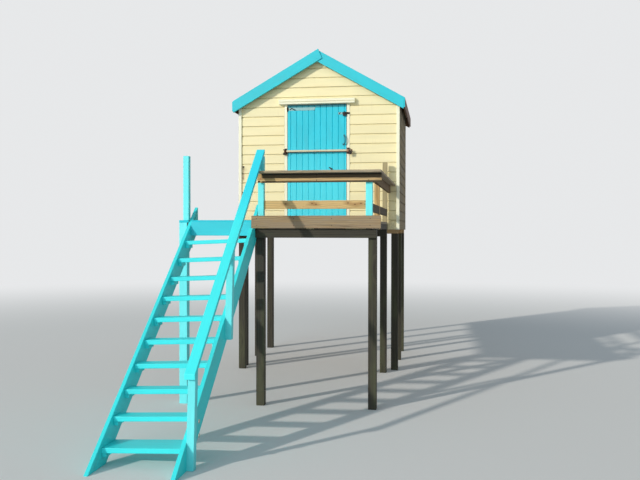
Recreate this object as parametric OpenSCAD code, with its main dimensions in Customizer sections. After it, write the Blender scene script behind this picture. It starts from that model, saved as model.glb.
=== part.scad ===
// Timber beach hut on legs, with a railed deck in front and a steep open stair down to the beach.
// Front faces -Y, Z = 0 is the level of the stair foot, X = 0 is the middle of the hut.

/* [Hut walls] */
// Width of the hut over its boarding
hut_w = 2400; // [2200:10:2600]
// Depth of the hut over its boarding
hut_d = 1900; // [1700:10:2200]
// Thickness of the wall boarding
board_t = 20; // [16:1:24]
// Side of the square studs behind the boarding
stud = 45; // [38:1:50]
// Height of the side walls above the deck
eave_h = 1812; // [1780:1:1900]
// How far the boarding runs down past the deck
skirt_h = 104; // [70:1:130]
// Width of the corner boards
corner_w = 45; // [35:1:60]
// Thickness of the corner boards
corner_t = 18; // [12:1:22]

/* [Roof] */
// Pitch of the roof in degrees
pitch = 29.7; // [26:0.1:34]
// Thickness of the roof boards and felt together
roof_t = 24; // [18:1:30]
// Overhang of the roof past the side walls
eave_over = 60; // [40:1:90]
// Overhang of the roof past the front and back walls
gable_over = 70; // [50:1:100]
// Depth of the bargeboards, square to the slope
barge_h = 149; // [120:1:165]
// Thickness of the bargeboards
barge_t = 22; // [18:1:28]
// How far the left front bargeboard stands proud of the right one
barge_proud = 16; // [4:1:25]
// How far the left front bargeboard's tip runs past the ridge
barge_tip = 17; // [5:1:25]
// Thickness of the fascia boards along the eaves
eave_t = 20; // [16:1:24]
// Depth of the fascia boards along the eaves
eave_fascia_h = 150; // [110:1:165]
// Thickness of the ridge board
ridge_t = 35; // [30:1:45]
// Depth of the ridge board
ridge_h = 120; // [90:1:150]
// Width of the purlins
purlin_w = 45; // [38:1:50]
// Depth of the purlins
purlin_h = 70; // [60:1:95]
// Distance of the purlins from the middle of the hut
purlin_x = 650; // [620:1:800]

/* [Door] */
// Width of the door leaf
door_w = 875; // [800:1:950]
// Height of the top of the door leaf above the deck
door_top = 1735; // [1650:1:1740]
// Distance of the door's middle from the middle of the hut, negative to the left
door_x = -15; // [-60:1:60]
// Thickness of the door boards
leaf_t = 20; // [18:1:24]
// Gap round the door leaf
door_gap = 6; // [5.5:0.5:9]
// Width of the jambs and head that show round the door
frame_w = 44; // [36:1:60]
// How far the door frame stands in front of the boarding
frame_proud = 5; // [2:1:8]
// Thickness of the ledges and braces inside the door
ledge_t = 22; // [18:1:26]
// Width of the ledges inside the door
ledge_h = 100; // [80:1:130]
// Width of the braces inside the door
brace_w = 90; // [70:1:110]
// Height of the door sill above the deck
sill_h = 30; // [24:1:40]
// How far the door sill stands out
sill_d = 30; // [20:1:45]
// Length of the drip canopy over the door
canopy_l = 1130; // [1000:1:1300]
// How far the drip canopy stands out
canopy_d = 65; // [40:1:90]
// Depth of the drip canopy's front edge
canopy_h = 80; // [60:1:85]

/* [Door ironwork] */
// Length of the strap hinges
strap_l = 412; // [300:1:450]
// Width of the strap hinges at the knuckle
strap_w = 50; // [36:1:60]
// Thickness of the hinge and hasp plates
plate_t = 4; // [3:0.5:5]
// Outer radius of the hinge knuckles
knuckle_r = 7; // [6:0.5:9]
// Radius of the hinge pins
pin_r = 3.5; // [2.5:0.5:4]
// Height of the upper hinge above the deck
hinge_top_z = 1676; // [1500:1:1680]
// Height of the lower hinge above the deck
hinge_low_z = 240; // [180:1:300]
// Height of the locking bar above the deck
bar_z = 1050; // [950:1:1090]
// Width of the locking bar
bar_h = 34; // [28:1:40]
// Thickness of the locking bar
bar_t = 8; // [6:1:10]
// How far the locking bar stands in front of the boarding
bar_out = 41; // [36:1:50]
// Height of the middle of the pull handle above the deck
pull_z = 1212; // [1180:1:1300]
// Length of the pull handle
pull_l = 140; // [110:1:170]
// Height of the hasp above the deck
hasp_z = 1593; // [1500:1:1620]
// Height of the rim lock above the deck
lock_z = 795; // [700:1:850]

/* [Deck] */
// Distance from the front wall to the front of the deck fascia
deck_d = 2550; // [2200:10:2900]
// Distance from the middle of the hut to the deck's right side
deck_right = 1031; // [950:1:1100]
// Thickness of the deck boards
deck_t = 28; // [22:1:32]
// Depth of the deck joists
joist_h = 75; // [60:1:95]
// Width of the deck joists and of the front beam
joist_w = 45; // [38:1:50]
// Depth of the deck beams
beam_h = 100; // [90:1:125]
// Depth of the brown fascia
fascia_h = 145; // [120:1:150]
// Thickness of the fascia and of the landing board
fascia_t = 38; // [32:1:45]
// How far the brown fascia stands above the deck
fascia_up = 50; // [20:1:60]
// How far the fascia runs past the deck's right side
fascia_over = 98; // [40:1:110]
// Depth of the landing board at the stair head
landing_h = 160; // [120:1:170]
// How far the landing board's top lies below the deck
landing_down = 20; // [15:1:40]
// Side of the square front rail post
post = 75; // [70:1:95]
// Side of the other rail posts
side_post = 66; // [60:1:75]
// Side of the square deck legs
deck_leg = 95; // [90:1:110]
// Thickness of the rim board along the deck's left side
rim_t = 22; // [18:1:30]

/* [Rails] */
// Height of the rail's top above the deck
rail_top = 558; // [500:1:700]
// Thickness of the rail cap
cap_t = 28; // [22:1:35]
// Width of the rail cap
cap_w = 145; // [120:1:160]
// How far the rail cap overhangs the front rail board
cap_front = 100; // [40:1:105]
// How far the rail cap overhangs the side rail board
cap_over = 70; // [30:1:75]
// Depth of the board under the cap
rail_board_h = 102; // [80:1:120]
// Height of the middle rail's centre above the deck
mid_rail_z = 176; // [150:1:250]
// Depth of the middle rails
mid_rail_h = 96; // [70:1:105]
// Thickness of the middle rails
mid_rail_t = 32; // [22:1:35]
// How much lower the side middle rails are than the front one
side_rail_down = 35; // [0:1:60]
// Distance from the front wall to the front of the middle side post
mid_post_y = 1500; // [1100:10:1700]
// Distance from the front wall to the front of the wall post
wall_post_y = 150; // [120:1:200]
// How far the wall post rises above the rail
wall_post_up = 305; // [100:1:350]

/* [Stair] */
// Clear width between the strings
stair_w = 723; // [600:1:800]
// Distance from the middle of the hut to the inner face of the right string, negative to the left
stair_x = -361; // [-400:1:-330]
// Drop from the deck to the first tread at the right string
first_drop = 210; // [180:1:240]
// How far the stair has settled at its left string
settled = 30; // [0:1:40]
// Rise from tread to tread
rise = 192.5; // [170:0.5:200]
// Going from tread to tread
going = 240; // [220:1:260]
// Distance from the front of the deck to the nosing of the first tread
first_going = 195; // [150:1:240]
// Number of treads
treads = 10; // [8:1:11]
// How far the wide bottom tread lies below its even place
bottom_extra = 21; // [0:1:40]
// Drop from the even place of the last tread to the ground, at the right string
last_drop = 213; // [170:1:230]
// Thickness of the treads
tread_t = 45; // [35:1:50]
// Depth of the treads from front to back
tread_d = 165; // [150:1:200]
// Depth of the wide bottom tread
bottom_tread_d = 286; // [200:1:300]
// Width of the strings, square to their slope
string_h = 220; // [200:1:240]
// Thickness of the strings
string_t = 38; // [34:1:50]
// How far the string edges stand above the nosings
string_up = 26; // [10:1:40]
// How far the string ends rise above the deck
string_end_up = 187; // [100:1:200]
// Side of the square newels
newel_w = 68; // [60:1:80]
// Distance of the top newel from the right string
newel_off = 32; // [5:1:50]
// How many degrees the newels on the settled stair lean to the left
newel_lean = 1.4; // [0:0.1:2.5]
// Height of the handrail's top above the deck, over the front of the deck
hand_top = 702; // [650:1:800]
// Height of the handrail's top above the nosing line at the bottom newel
hand_low = 647; // [600:1:750]
// Width of the handrail
hand_w = 96; // [80:1:120]
// Thickness of the handrail
hand_t = 38; // [32:1:50]
// How far the handrail runs back past the top newel's front
hand_back = 107; // [80:1:130]
// How far the handrail runs past the bottom newel's front
hand_front = 38; // [20:1:80]
// Distance from the front of the deck to the middle newel
mid_newel = 1190; // [900:5:1300]
// How far the middle newel's foot lies below the nosing line
mid_newel_down = 200; // [100:5:320]
// Distance from the front of the deck to the bottom newel
low_newel = 2350; // [2000:5:2400]
// Rise of the left newel's top above the deck
left_newel_top = 752; // [600:1:900]
// Side of the square cleats under the treads
cleat = 38; // [25:1:40]

/* [Legs] */
// Side of the square hut legs
hut_leg = 100; // [90:1:125]
// Depth of the hut floor's bearers
bearer_h = 100; // [75:1:125]
// Depth of the hut floor's joists
floor_joist_h = 75; // [60:1:95]
// Thickness of the hut floor boards
floor_t = 20; // [18:1:25]

/* [Hidden] */
$fn = 32;
seat_gap = 0.3;
wood = "burlywood";
brown = "rosybrown";
weathered = "gray";
turquoise = "turquoise";
cream = "cornsilk";
steel = "silver";

// Roof
slope = tan(pitch);
roof_rise = roof_t / cos(pitch);
half_w = hut_w / 2;
roof_half = half_w + eave_over;
under_apex = eave_h + half_w * slope;
apex_h = under_apex + roof_rise;
barge_drop = barge_h / cos(pitch);
barge_front = gable_over + barge_t;

// Door
leaf_y = -frame_proud;
open_w = door_w + 2 * door_gap;
open_l = door_x - open_w / 2;
open_r = door_x + open_w / 2;
head_z = door_top + door_gap;
frame_l = open_l - frame_w;
frame_r = open_r + frame_w;
wall_in = board_t + stud;
hinge_x = open_l;
hinge_y = leaf_y - knuckle_r - seat_gap;
bar_pin_x = frame_l + 9;
pin_gap = 0.3;
running = 0.05;
leaf_bottom = sill_h + door_gap;
canopy_gap = 4;

// Deck, with z = 0 at the top of its boards
post_front = -deck_d + fascia_t;
board_gap = 2;
joist_z = -deck_t - joist_h;
deck_left = stair_x - stair_w - string_t;
string_r_out = stair_x + string_t;
wall_gap = corner_t + board_gap;
rail_out = deck_right + fascia_t;
cap_out = rail_out + cap_over;

// Stair
tilt = atan(rise / going);
nose_y = -deck_d - first_going;
nose_z = -first_drop;
drop = first_drop + (treads - 1) * rise + last_drop;
string_rise = string_h / cos(tilt);

// Rests: the ground is drop below the deck, and the origin is under the middle of the whole
foot_front = nose_y - (treads - 1) * going - (last_drop + string_up) / tan(tilt);
back_y = hut_d + gable_over + barge_t;
mid_y = (foot_front + back_y) / 2;

// Moves the hut and deck, drawn with z = 0 at the deck and y = 0 at the front wall, to the part's origin
module site() {
    translate([0, -mid_y, drop])
        children();
}

// A box from its lowest to its highest corner
module block(lo, hi) {
    translate(lo)
        cube(hi - lo);
}

// Draws an outline given in X and Z as a slab from y0 to y1
module upright(y0, y1) {
    translate([0, y1, 0])
        rotate([90, 0, 0])
            linear_extrude(y1 - y0)
                children();
}

// Draws an outline given in Y and Z as a slab from x0 to x1
module sideways(x0, x1) {
    translate([x0, 0, 0])
        rotate([90, 0, 90])
            linear_extrude(x1 - x0)
                children();
}

// Height of the roof's underside at a distance x from the middle
function under_roof(x) = under_apex - abs(x) * slope;

// Height of the nosing line at a place y
function nosing(y) = nose_z + (y - nose_y) * rise / going;

// Hut base

module leg(x, y, side, top) {
    block([x - side / 2, y - side / 2, -drop], [x + side / 2, y + side / 2, top]);
}

bearer_top = sill_h - floor_t - floor_joist_h;
bearer_rows = [hut_leg / 2 + board_t, hut_d / 2, hut_d - hut_leg / 2 - board_t];

module hut_legs() {
    color(wood) site()
        for (x = [-1, 1], y = bearer_rows)
            leg(x * (half_w - board_t - hut_leg / 2), y, hut_leg, bearer_top - bearer_h);
}

module floor_bearers() {
    color(wood) site()
        for (y = bearer_rows)
            block([-half_w + board_t, y - joist_w / 2, bearer_top - bearer_h],
                  [half_w - board_t, y + joist_w / 2, bearer_top]);
}

module floor_joists() {
    last = half_w - board_t - joist_w / 2;
    color(wood) site()
        for (i = [-2 : 2]) {
            x = i * last / 2;
            block([x - joist_w / 2, board_t, bearer_top],
                  [x + joist_w / 2, hut_d - board_t, bearer_top + floor_joist_h]);
        }
}

module hut_floor() {
    color(wood) site()
        block([-half_w + board_t, board_t, sill_h - floor_t], [half_w - board_t, hut_d - board_t, sill_h]);
}

// Walls

// One gable wall's outline between x0 and x1, from z0 up to the roof
module gable_outline(x0, x1, z0) {
    ridge = x0 < 0 && x1 > 0 ? [[0, under_apex]] : [];
    polygon(concat([[x0, z0], [x1, z0], [x1, under_roof(x1)]], ridge, [[x0, under_roof(x0)]]));
}

module front_wall_left() {
    color(cream) site() upright(0, board_t) gable_outline(-half_w, frame_l, -skirt_h);
}

module front_wall_right() {
    color(cream) site() upright(0, board_t) gable_outline(frame_r, half_w, -skirt_h);
}

module front_gable() {
    color(cream) site() {
        upright(0, board_t) gable_outline(frame_l, frame_r, head_z + frame_w);
        block([frame_l, 0, -skirt_h], [frame_r, board_t, sill_h - floor_t]);
    }
}

// A side wall's outline in X and Z, at the right; its top follows the roof
module side_wall(side) {
    color(weathered) site()
        mirror([side < 0 ? 1 : 0, 0, 0])
            upright(board_t, hut_d - board_t)
                polygon([[half_w - board_t, -skirt_h], [half_w, -skirt_h], [half_w, under_roof(half_w)],
                         [half_w - board_t, under_roof(half_w - board_t)]]);
}

module left_wall() side_wall(-1);

module right_wall() side_wall(1);

module back_wall() {
    color(weathered) site() upright(hut_d - board_t, hut_d) gable_outline(-half_w, half_w, -skirt_h);
}

// One stud with its inner corner at x, y, cut off under the roof
module stud_at(x, y) {
    upright(y, y + stud)
        gable_outline(x, x + stud, sill_h);
}

module wall_studs() {
    inner = half_w - board_t;
    side_rows = [board_t, hut_d / 3, 2 * hut_d / 3, hut_d - board_t - stud];
    color(wood) site() {
        for (y = side_rows) {
            stud_at(-inner, y);
            stud_at(inner - stud, y);
        }
        for (x = [-half_w / 3 - stud / 2, half_w / 3 - stud / 2])
            stud_at(x, hut_d - board_t - stud);
        stud_at(frame_l - stud, board_t);
        stud_at(frame_r, board_t);
    }
}

module corner_boards() {
    color(cream) site()
        for (side = [-1, 1], y = [-corner_t, hut_d])
            mirror([side < 0 ? 1 : 0, 0, 0])
                upright(y, y + corner_t)
                    gable_outline(half_w - corner_w, half_w, -skirt_h);
}

// Roof

// One side of the roof at the right
module roof_side(side) {
    color("dimgray") site()
        mirror([side < 0 ? 1 : 0, 0, 0])
            upright(-gable_over, hut_d + gable_over)
                polygon([[0, under_apex], [roof_half, under_roof(roof_half)],
                         [roof_half, under_roof(roof_half) + roof_rise], [0, apex_h]]);
}

module roof_left() roof_side(-1);

module roof_right() roof_side(1);

module roof_purlins() {
    color(wood) site() {
        y0 = board_t;
        y1 = hut_d - board_t;
        upright(y0, y1)
            translate([0, -seat_gap])
                polygon([[-ridge_t / 2, under_apex - ridge_h], [ridge_t / 2, under_apex - ridge_h],
                         [ridge_t / 2, under_roof(ridge_t / 2)], [0, under_apex],
                         [-ridge_t / 2, under_roof(ridge_t / 2)]]);
        for (side = [-1, 1])
            mirror([side < 0 ? 1 : 0, 0, 0])
                upright(y0, y1)
                    translate([purlin_x, under_roof(purlin_x) - seat_gap])
                        rotate(-pitch)
                            translate([-purlin_w / 2, -purlin_h])
                                square([purlin_w, purlin_h]);
    }
}

// A bargeboard's outline at the right, from the ridge down to its plumb end
module barge_outline() {
    polygon([[0, apex_h], [roof_half, apex_h - roof_half * slope],
             [roof_half, apex_h - roof_half * slope - barge_drop], [0, apex_h - barge_drop]]);
}

// The left bargeboard's outline, which laps over the right one and runs on past the ridge
module barge_lap() {
    polygon([[-roof_half, apex_h - roof_half * slope], [barge_tip, apex_h + barge_tip * slope],
             [barge_h * sin(pitch), apex_h - barge_h * cos(pitch)],
             [-roof_half, apex_h - roof_half * slope - barge_drop]]);
}

module bargeboard_left() {
    color(turquoise) site() upright(-barge_front - barge_proud, -gable_over) barge_lap();
}

// What the left bargeboard's end leaves no room for on the right one
module barge_cut() {
    joint = 0.5;
    tip = [barge_tip, barge_tip * slope];
    end = [barge_h * sin(pitch), -barge_h * cos(pitch)];
    translate([joint, apex_h])
        polygon([2 * tip - end, end, [-barge_h, -barge_drop - barge_h * slope], [-barge_h, barge_h]]);
}

module bargeboard_right() {
    color(turquoise) site() upright(-barge_front, -gable_over)
        difference() {
            barge_outline();
            barge_cut();
        }
}

module bargeboards_back() {
    color(brown) site() upright(hut_d + gable_over, back_y) {
        barge_outline();
        mirror([1, 0]) barge_outline();
    }
}

module eave_fascias() {
    color(brown) site()
        for (side = [-1, 1])
            mirror([side < 0 ? 1 : 0, 0, 0]) {
                top = under_roof(roof_half) + roof_rise;
                upright(-barge_front, back_y)
                    polygon([[roof_half, top - eave_fascia_h], [roof_half + eave_t, top - eave_fascia_h],
                             [roof_half + eave_t, top - eave_t * slope], [roof_half, top]]);
            }
}

// Door

module door_frame() {
    joint = 0.5;
    color(cream) site() {
        for (x = [frame_l, open_r])
            block([x, -frame_proud, sill_h], [x + frame_w, wall_in, head_z - joint]);
        block([frame_l, -frame_proud, head_z], [frame_r, wall_in, head_z + frame_w]);
    }
}

module door_sill() {
    color(cream) site()
        block([frame_l, -sill_d, sill_h - floor_t], [frame_r, board_t, sill_h - seat_gap]);
}

module door_canopy() {
    color(cream) site()
        sideways(door_x - canopy_l / 2, door_x + canopy_l / 2)
            polygon([[-frame_proud, head_z + canopy_gap], [-frame_proud, head_z + canopy_gap + canopy_h],
                     [-canopy_d, head_z + canopy_gap + canopy_h * 0.8], [-canopy_d, head_z + canopy_gap]]);
}

module door_leaf() {
    color(turquoise) site()
        block([door_x - door_w / 2, leaf_y, leaf_bottom], [door_x + door_w / 2, leaf_y + leaf_t, door_top]);
}

module door_ledges() {
    y0 = leaf_y + leaf_t;
    rows = [leaf_bottom + 60, (leaf_bottom + door_top - ledge_h) / 2, door_top - 60 - ledge_h];
    inset = 40;
    l = door_x - door_w / 2 + inset;
    r = door_x + door_w / 2 - inset;
    run = brace_w * 1.3;
    color(wood) site() upright(y0, y0 + ledge_t) {
        for (z = rows)
            translate([l, z])
                square([r - l, ledge_h]);
        for (i = [0, 1])
            polygon([[l, rows[i] + ledge_h - 1], [l + run, rows[i] + ledge_h - 1],
                     [r, rows[i + 1] + 1], [r - run, rows[i + 1] + 1]]);
    }
}

// The leaf side of one strap hinge, at height z: a tapered strap with a round tip, rolled round the pin
module strap(z) {
    barrel = strap_w / 2;
    tip = strap_w * 0.28;
    neck = knuckle_r + 4;
    difference() {
        union() {
            upright(leaf_y - plate_t, leaf_y) {
                polygon([[hinge_x, z - barrel / 2], [hinge_x + neck, z - barrel / 2],
                         [hinge_x + neck, z - strap_w / 2], [hinge_x + strap_l - tip, z - tip],
                         [hinge_x + strap_l - tip, z + tip], [hinge_x + neck, z + strap_w / 2],
                         [hinge_x + neck, z + barrel / 2], [hinge_x, z + barrel / 2]]);
                translate([hinge_x + strap_l - tip, z])
                    circle(tip);
            }
            translate([hinge_x, hinge_y, z - barrel / 2])
                cylinder(r = knuckle_r, h = barrel);
        }
        translate([hinge_x, hinge_y, z - strap_w])
            cylinder(r = pin_r + running, h = 2 * strap_w);
    }
}

module door_straps() {
    color(steel) site()
        for (z = [hinge_low_z, hinge_top_z])
            strap(z);
}

// A round bar bent into a bow handle, standing out from the plane y
module bow(x, y, z, length, out, r) {
    for (end = [-1, 1])
        translate([x, y, z + end * (length / 2 - r)])
            rotate([90, 0, 0])
                cylinder(r = r, h = out);
    translate([x, y - out, z - length / 2])
        cylinder(r = r, h = length);
}

pull_x = door_x + door_w / 2 - 25;
pull_r = 6;
pull_out = 38;
hasp_l = 164;
hasp_h = 34;
lock_w = 42;
lock_d = 20;
rim_lock_in = 230;
rim_lock_x = door_x + door_w / 2 - rim_lock_in;
rim_lock_r = 20;
rim_lock_out = 12;

// The hasp lies on the door and over the jamb, with a padlock hung in front of it
module hasp() {
    y = leaf_y - seat_gap - plate_t;
    x1 = frame_r - 8;
    z0 = hasp_z - hasp_h / 2;
    block([x1 - hasp_l, y, z0], [x1, y + plate_t, z0 + hasp_h]);
    block([x1 - hasp_l, y + plate_t, z0], [pull_x - lock_w, leaf_y, z0 + hasp_h]);
    half = lock_w / 2;
    block([pull_x - half, y - lock_d, hasp_z - half], [pull_x + half, y, hasp_z + half]);
}

module door_furniture() {
    color("dimgray") site() {
        bow(pull_x, leaf_y, pull_z, pull_l, pull_out, pull_r);
        hasp();
        translate([rim_lock_x, leaf_y, lock_z])
            rotate([90, 0, 0])
                cylinder(r = rim_lock_r, h = rim_lock_out);
    }
}

// The part of a hinge or bar pivot that stays on the jamb: a plate, two knuckles and the pin
module fixed_knuckle(x, y, z, barrel, tall) {
    for (end = [-1, 1])
        translate([x, y, z + end * (barrel / 2 + pin_gap + tall / 2) - tall / 2])
            cylinder(r = knuckle_r, h = tall);
    translate([x, y, z - barrel / 2 - pin_gap - tall])
        cylinder(r = pin_r, h = barrel + 2 * (pin_gap + tall));
}

// A flat plate on the face of the door frame, from x0 to x1, its middle at height z
module knuckle_plate(x0, x1, z, tall) {
    block([x0, -frame_proud - plate_t, z - tall / 2], [x1, -frame_proud, z + tall / 2]);
}

bar_knuckle_h = 14;
bar_plate_half = 45;
bar_plate_l = frame_l + 1;
bar_plate_in = 5;
staple_x = frame_r + 6;
staple_w = 10;
staple_out = 22;
slot_play = 10;

// The parts of the locking bar's fastening that stay on the jambs and beside them
module bar_brackets() {
    face = -frame_proud;
    fixed_knuckle(bar_pin_x, -bar_out, bar_z, bar_h, bar_knuckle_h);
    for (end = [-1, 1]) {
        z0 = bar_z + end * (bar_h / 2 + pin_gap + bar_knuckle_h / 2) - bar_knuckle_h / 2;
        block([bar_pin_x - knuckle_r, -bar_out, z0], [bar_pin_x + knuckle_r, face, z0 + bar_knuckle_h]);
    }
    block([bar_plate_l, face - plate_t, bar_z - bar_plate_half],
          [open_l - bar_plate_in, face, bar_z + bar_plate_half]);
    block([open_r + bar_plate_in, face - plate_t, bar_z - bar_plate_half],
          [frame_r - bar_plate_in, face, bar_z + bar_plate_half]);
    block([staple_x, -bar_out - staple_out, bar_z - staple_w / 2],
          [staple_x + staple_w, 0, bar_z + staple_w / 2]);
}

module jamb_fittings() {
    tall = 22;
    color(steel) site() {
        for (z = [hinge_low_z, hinge_top_z]) {
            fixed_knuckle(hinge_x, hinge_y, z, strap_w / 2, tall);
            for (end = [-1, 1])
                knuckle_plate(hinge_x - frame_w * 0.8, hinge_x, z + end * (strap_w / 4 + pin_gap + tall / 2),
                              tall);
        }
        bar_brackets();
    }
}

bar_past = 45;

// The bar swings on the left jamb and has a slot that slips over the staple beside the right jamb
module locking_bar() {
    color(steel) site()
        difference() {
            union() {
                block([bar_pin_x, -bar_out - bar_t / 2, bar_z - bar_h / 2],
                      [frame_r + bar_past, -bar_out + bar_t / 2, bar_z + bar_h / 2]);
                translate([bar_pin_x, -bar_out, bar_z - bar_h / 2])
                    cylinder(r = knuckle_r, h = bar_h);
            }
            translate([bar_pin_x, -bar_out, bar_z - bar_h])
                cylinder(r = pin_r + running, h = 2 * bar_h);
            block([staple_x - slot_play, -bar_out - bar_t, bar_z - slot_play],
                  [staple_x + staple_w + slot_play, -bar_out + bar_t, bar_z + slot_play]);
        }
}

// Deck

// The plan of the strings' upper ends, the top newel and the rail posts, with a clearance round them
module deck_cutouts(gap) {
    for (x = [stair_x, deck_left])
        cut_round(x, -deck_d, string_t, string_top_y() + deck_d, gap);
    cut_round(top_newel_x, post_front, newel_w, newel_w, gap);
    cut_round(deck_right - post, post_front, post, post, gap);
    for (y = side_post_rows)
        cut_round(deck_right - side_post, y, side_post, side_post, gap);
}

module cut_round(x, y, w, d, gap) {
    translate([x - gap, y - gap])
        square([w + 2 * gap, d + 2 * gap]);
}

// Where the strings' upper ends are cut plumb
function string_top_y() = nose_y + (string_end_up - nose_z - string_up) * going / rise;

top_newel_x = string_r_out + newel_off;
deck_edge = deck_left - rim_t;
boards_l = deck_edge - deck_leg;
side_post_rows = [-mid_post_y, -wall_post_y];

module deck_boards() {
    color(wood) site()
        translate([0, 0, -deck_t])
            linear_extrude(deck_t)
                difference() {
                    translate([boards_l, post_front])
                        square([deck_right - boards_l, -post_front - wall_gap]);
                    deck_cutouts(board_gap);
                }
}

joist_clear = 3;
first_joist_in = 60;
joist_xs = [deck_left + string_t + first_joist_in, (deck_left + stair_x) / 2,
            top_newel_x + newel_w + joist_clear, (top_newel_x + newel_w + deck_right - post) / 2];

// The rim on the right is cut in between the rail posts
module deck_joists() {
    starts = [post_front + post, side_post_rows[0] + side_post, side_post_rows[1] + side_post];
    ends = [side_post_rows[0], side_post_rows[1], 0];
    color(wood) site() {
        for (x = joist_xs)
            block([x, post_front, joist_z], [x + joist_w, 0, -deck_t]);
        for (i = [0 : 2])
            block([deck_right - joist_w, starts[i], joist_z], [deck_right, ends[i], -deck_t]);
        block([deck_edge, post_front, joist_z], [deck_left, 0, -deck_t]);
    }
}

leg_y = post_front + joist_w;
back_beam_y = -wall_post_y - side_post - joist_w;
beam_end = deck_right + joist_w;

module deck_beams() {
    color(wood) site() {
        block([string_r_out, post_front, joist_z - beam_h], [beam_end, leg_y, joist_z]);
        block([deck_edge, back_beam_y, joist_z - beam_h], [deck_right, back_beam_y + joist_w, joist_z]);
    }
}

module deck_legs() {
    half = deck_leg / 2;
    color(wood) site() {
        for (x = [string_r_out + half, beam_end - half])
            leg(x, leg_y + half, deck_leg, joist_z);
        for (x = [deck_edge + half, deck_right - half])
            leg(x, back_beam_y + joist_w + half, deck_leg, joist_z);
    }
}

fascia_fit = 1;

module deck_fascia() {
    color(brown) site()
        block([stair_x + fascia_fit, -deck_d, fascia_up - fascia_h],
              [deck_right + fascia_over, post_front, fascia_up]);
}

module landing_board() {
    color(turquoise) site()
        block([stair_x - stair_w, -deck_d, -landing_down - landing_h], [stair_x, post_front, -landing_down]);
}

// Rails

board_z = rail_top - cap_t;
cap_fit = 1;
rail_l = top_newel_x;
cap_l = rail_l + 30;

module rail_caps() {
    front = -deck_d - cap_front;
    color(brown) site() {
        difference() {
            block([cap_l, front, board_z], [cap_out, front + cap_w, rail_top]);
            block([top_newel_x - cap_fit, post_front - cap_fit, board_z - cap_fit],
                  [top_newel_x + newel_w + cap_fit, 0, rail_top + cap_fit]);
        }
        difference() {
            block([cap_out - cap_w, front + cap_w + cap_fit, board_z], [cap_out, 0, rail_top]);
            block([0, -wall_post_y - cap_fit, board_z - cap_fit],
                  [deck_right + cap_fit, cap_fit, rail_top + cap_fit]);
        }
    }
}

// The front rail board is cut to a round lower corner where it meets the stair
module rail_boards() {
    r = 40;
    z0 = board_z - rail_board_h;
    color(brown) site() {
        upright(-deck_d, post_front)
            difference() {
                translate([rail_l, z0])
                    square([cap_out - rail_l, rail_board_h]);
                translate([rail_l, z0])
                    difference() {
                        square(r);
                        translate([r, r])
                            circle(r);
                    }
            }
        block([deck_right, post_front + cap_fit, z0], [rail_out, 0, board_z]);
    }
}

// The side middle rails stand between the posts, flush with their outer faces and lower than the front one
module mid_rails() {
    z0 = mid_rail_z - mid_rail_h / 2;
    side_z = z0 - side_rail_down;
    y0 = post_front + (post - mid_rail_t) / 2;
    starts = [post_front + post, side_post_rows[0] + side_post];
    color(brown) site() {
        block([top_newel_x + newel_w, y0, z0], [deck_right - post, y0 + mid_rail_t, z0 + mid_rail_h]);
        for (i = [0, 1])
            block([deck_right - mid_rail_t, starts[i], side_z],
                  [deck_right, side_post_rows[i], side_z + mid_rail_h]);
    }
}

module rail_post_front() {
    color(turquoise) site()
        block([deck_right - post, post_front, joist_z], [deck_right, post_front + post, board_z]);
}

module rail_posts_back() {
    color(wood) site() {
        tops = [board_z, rail_top + wall_post_up];
        for (i = [0, 1]) {
            y = side_post_rows[i];
            block([deck_right - side_post, y, joist_z], [deck_right, y + side_post, tops[i]]);
        }
    }
}

// Stair

// A string's outline in Y and Z, lowered by what its side has settled
module string_outline(fall) {
    top_y = string_top_y();
    foot_y = foot_front + fall * going / rise;
    foot_back = foot_y + string_rise * going / rise;
    polygon([[foot_y, -drop], [foot_back, -drop],
             [top_y, nosing(top_y) + string_up - string_rise - fall], [top_y, string_end_up - fall]]);
}

module string_left() {
    color(turquoise) site()
        sideways(deck_left, deck_left + string_t)
            string_outline(settled);
}

// The right string is notched for the end of the deck fascia and housed for the newels' feet
module string_right() {
    fit = 0.5;
    color(turquoise) site()
        difference() {
            sideways(stair_x, string_r_out)
                string_outline(0);
            block([stair_x - fit, -2 * deck_d, fascia_up - fascia_h - fit],
                  [string_r_out + fit, post_front + fit, fascia_up + fit]);
            stair_newels(fit);
        }
}

// The level of a tread's top at the right string
function tread_z(i) = nose_z - i * rise - (i == treads - 1 ? bottom_extra : 0);

// How far the stair has settled at x
function fall_at(x) = (stair_x - x) / stair_w * settled;

// A slab from x0 to x1 that follows the stair's settling, its top z at the right string
module across(x0, x1, y0, y1, z, t) {
    upright(y0, y1)
        polygon([[x0, z - fall_at(x0) - t], [x1, z - fall_at(x1) - t], [x1, z - fall_at(x1)],
                 [x0, z - fall_at(x0)]]);
}

function tread_deep(i) = i == treads - 1 ? bottom_tread_d : tread_d;

module stair_treads() {
    color(turquoise) site()
        for (i = [0 : treads - 1]) {
            y = nose_y - i * going;
            across(stair_x - stair_w, stair_x, y, y + tread_deep(i), tread_z(i), tread_t);
        }
}

module tread_cleats() {
    set_back = 15;
    color(turquoise) site()
        for (i = [0 : treads - 1], x = [stair_x - stair_w, stair_x - cleat]) {
            y = nose_y - i * going;
            top = tread_z(i) - tread_t - seat_gap;
            across(x, x + cleat, y + set_back, y + tread_d - set_back, top, cleat);
        }
}

// The handrail's top runs straight from over the deck's front to the bottom newel
hand_low_y = -deck_d - low_newel;
hand_low_z = nosing(hand_low_y) + hand_low;
hand_tilt = atan((hand_top - hand_low_z) / low_newel);
hand_drop = hand_t / cos(hand_tilt);
function hand_under(y) = hand_top + (y + deck_d) * tan(hand_tilt) - hand_drop;

// One newel from x0 to x1, cut to the handrail's slope at the top; grow makes it fuller for its housing
module newel(x0, x1, y, foot, grow) {
    sideways(x0 - grow, x1)
        polygon([[y - grow, foot - grow], [y + newel_w + grow, foot - grow],
                 [y + newel_w + grow, hand_under(y + newel_w) - seat_gap],
                 [y - grow, hand_under(y) - seat_gap]]);
}

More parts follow.
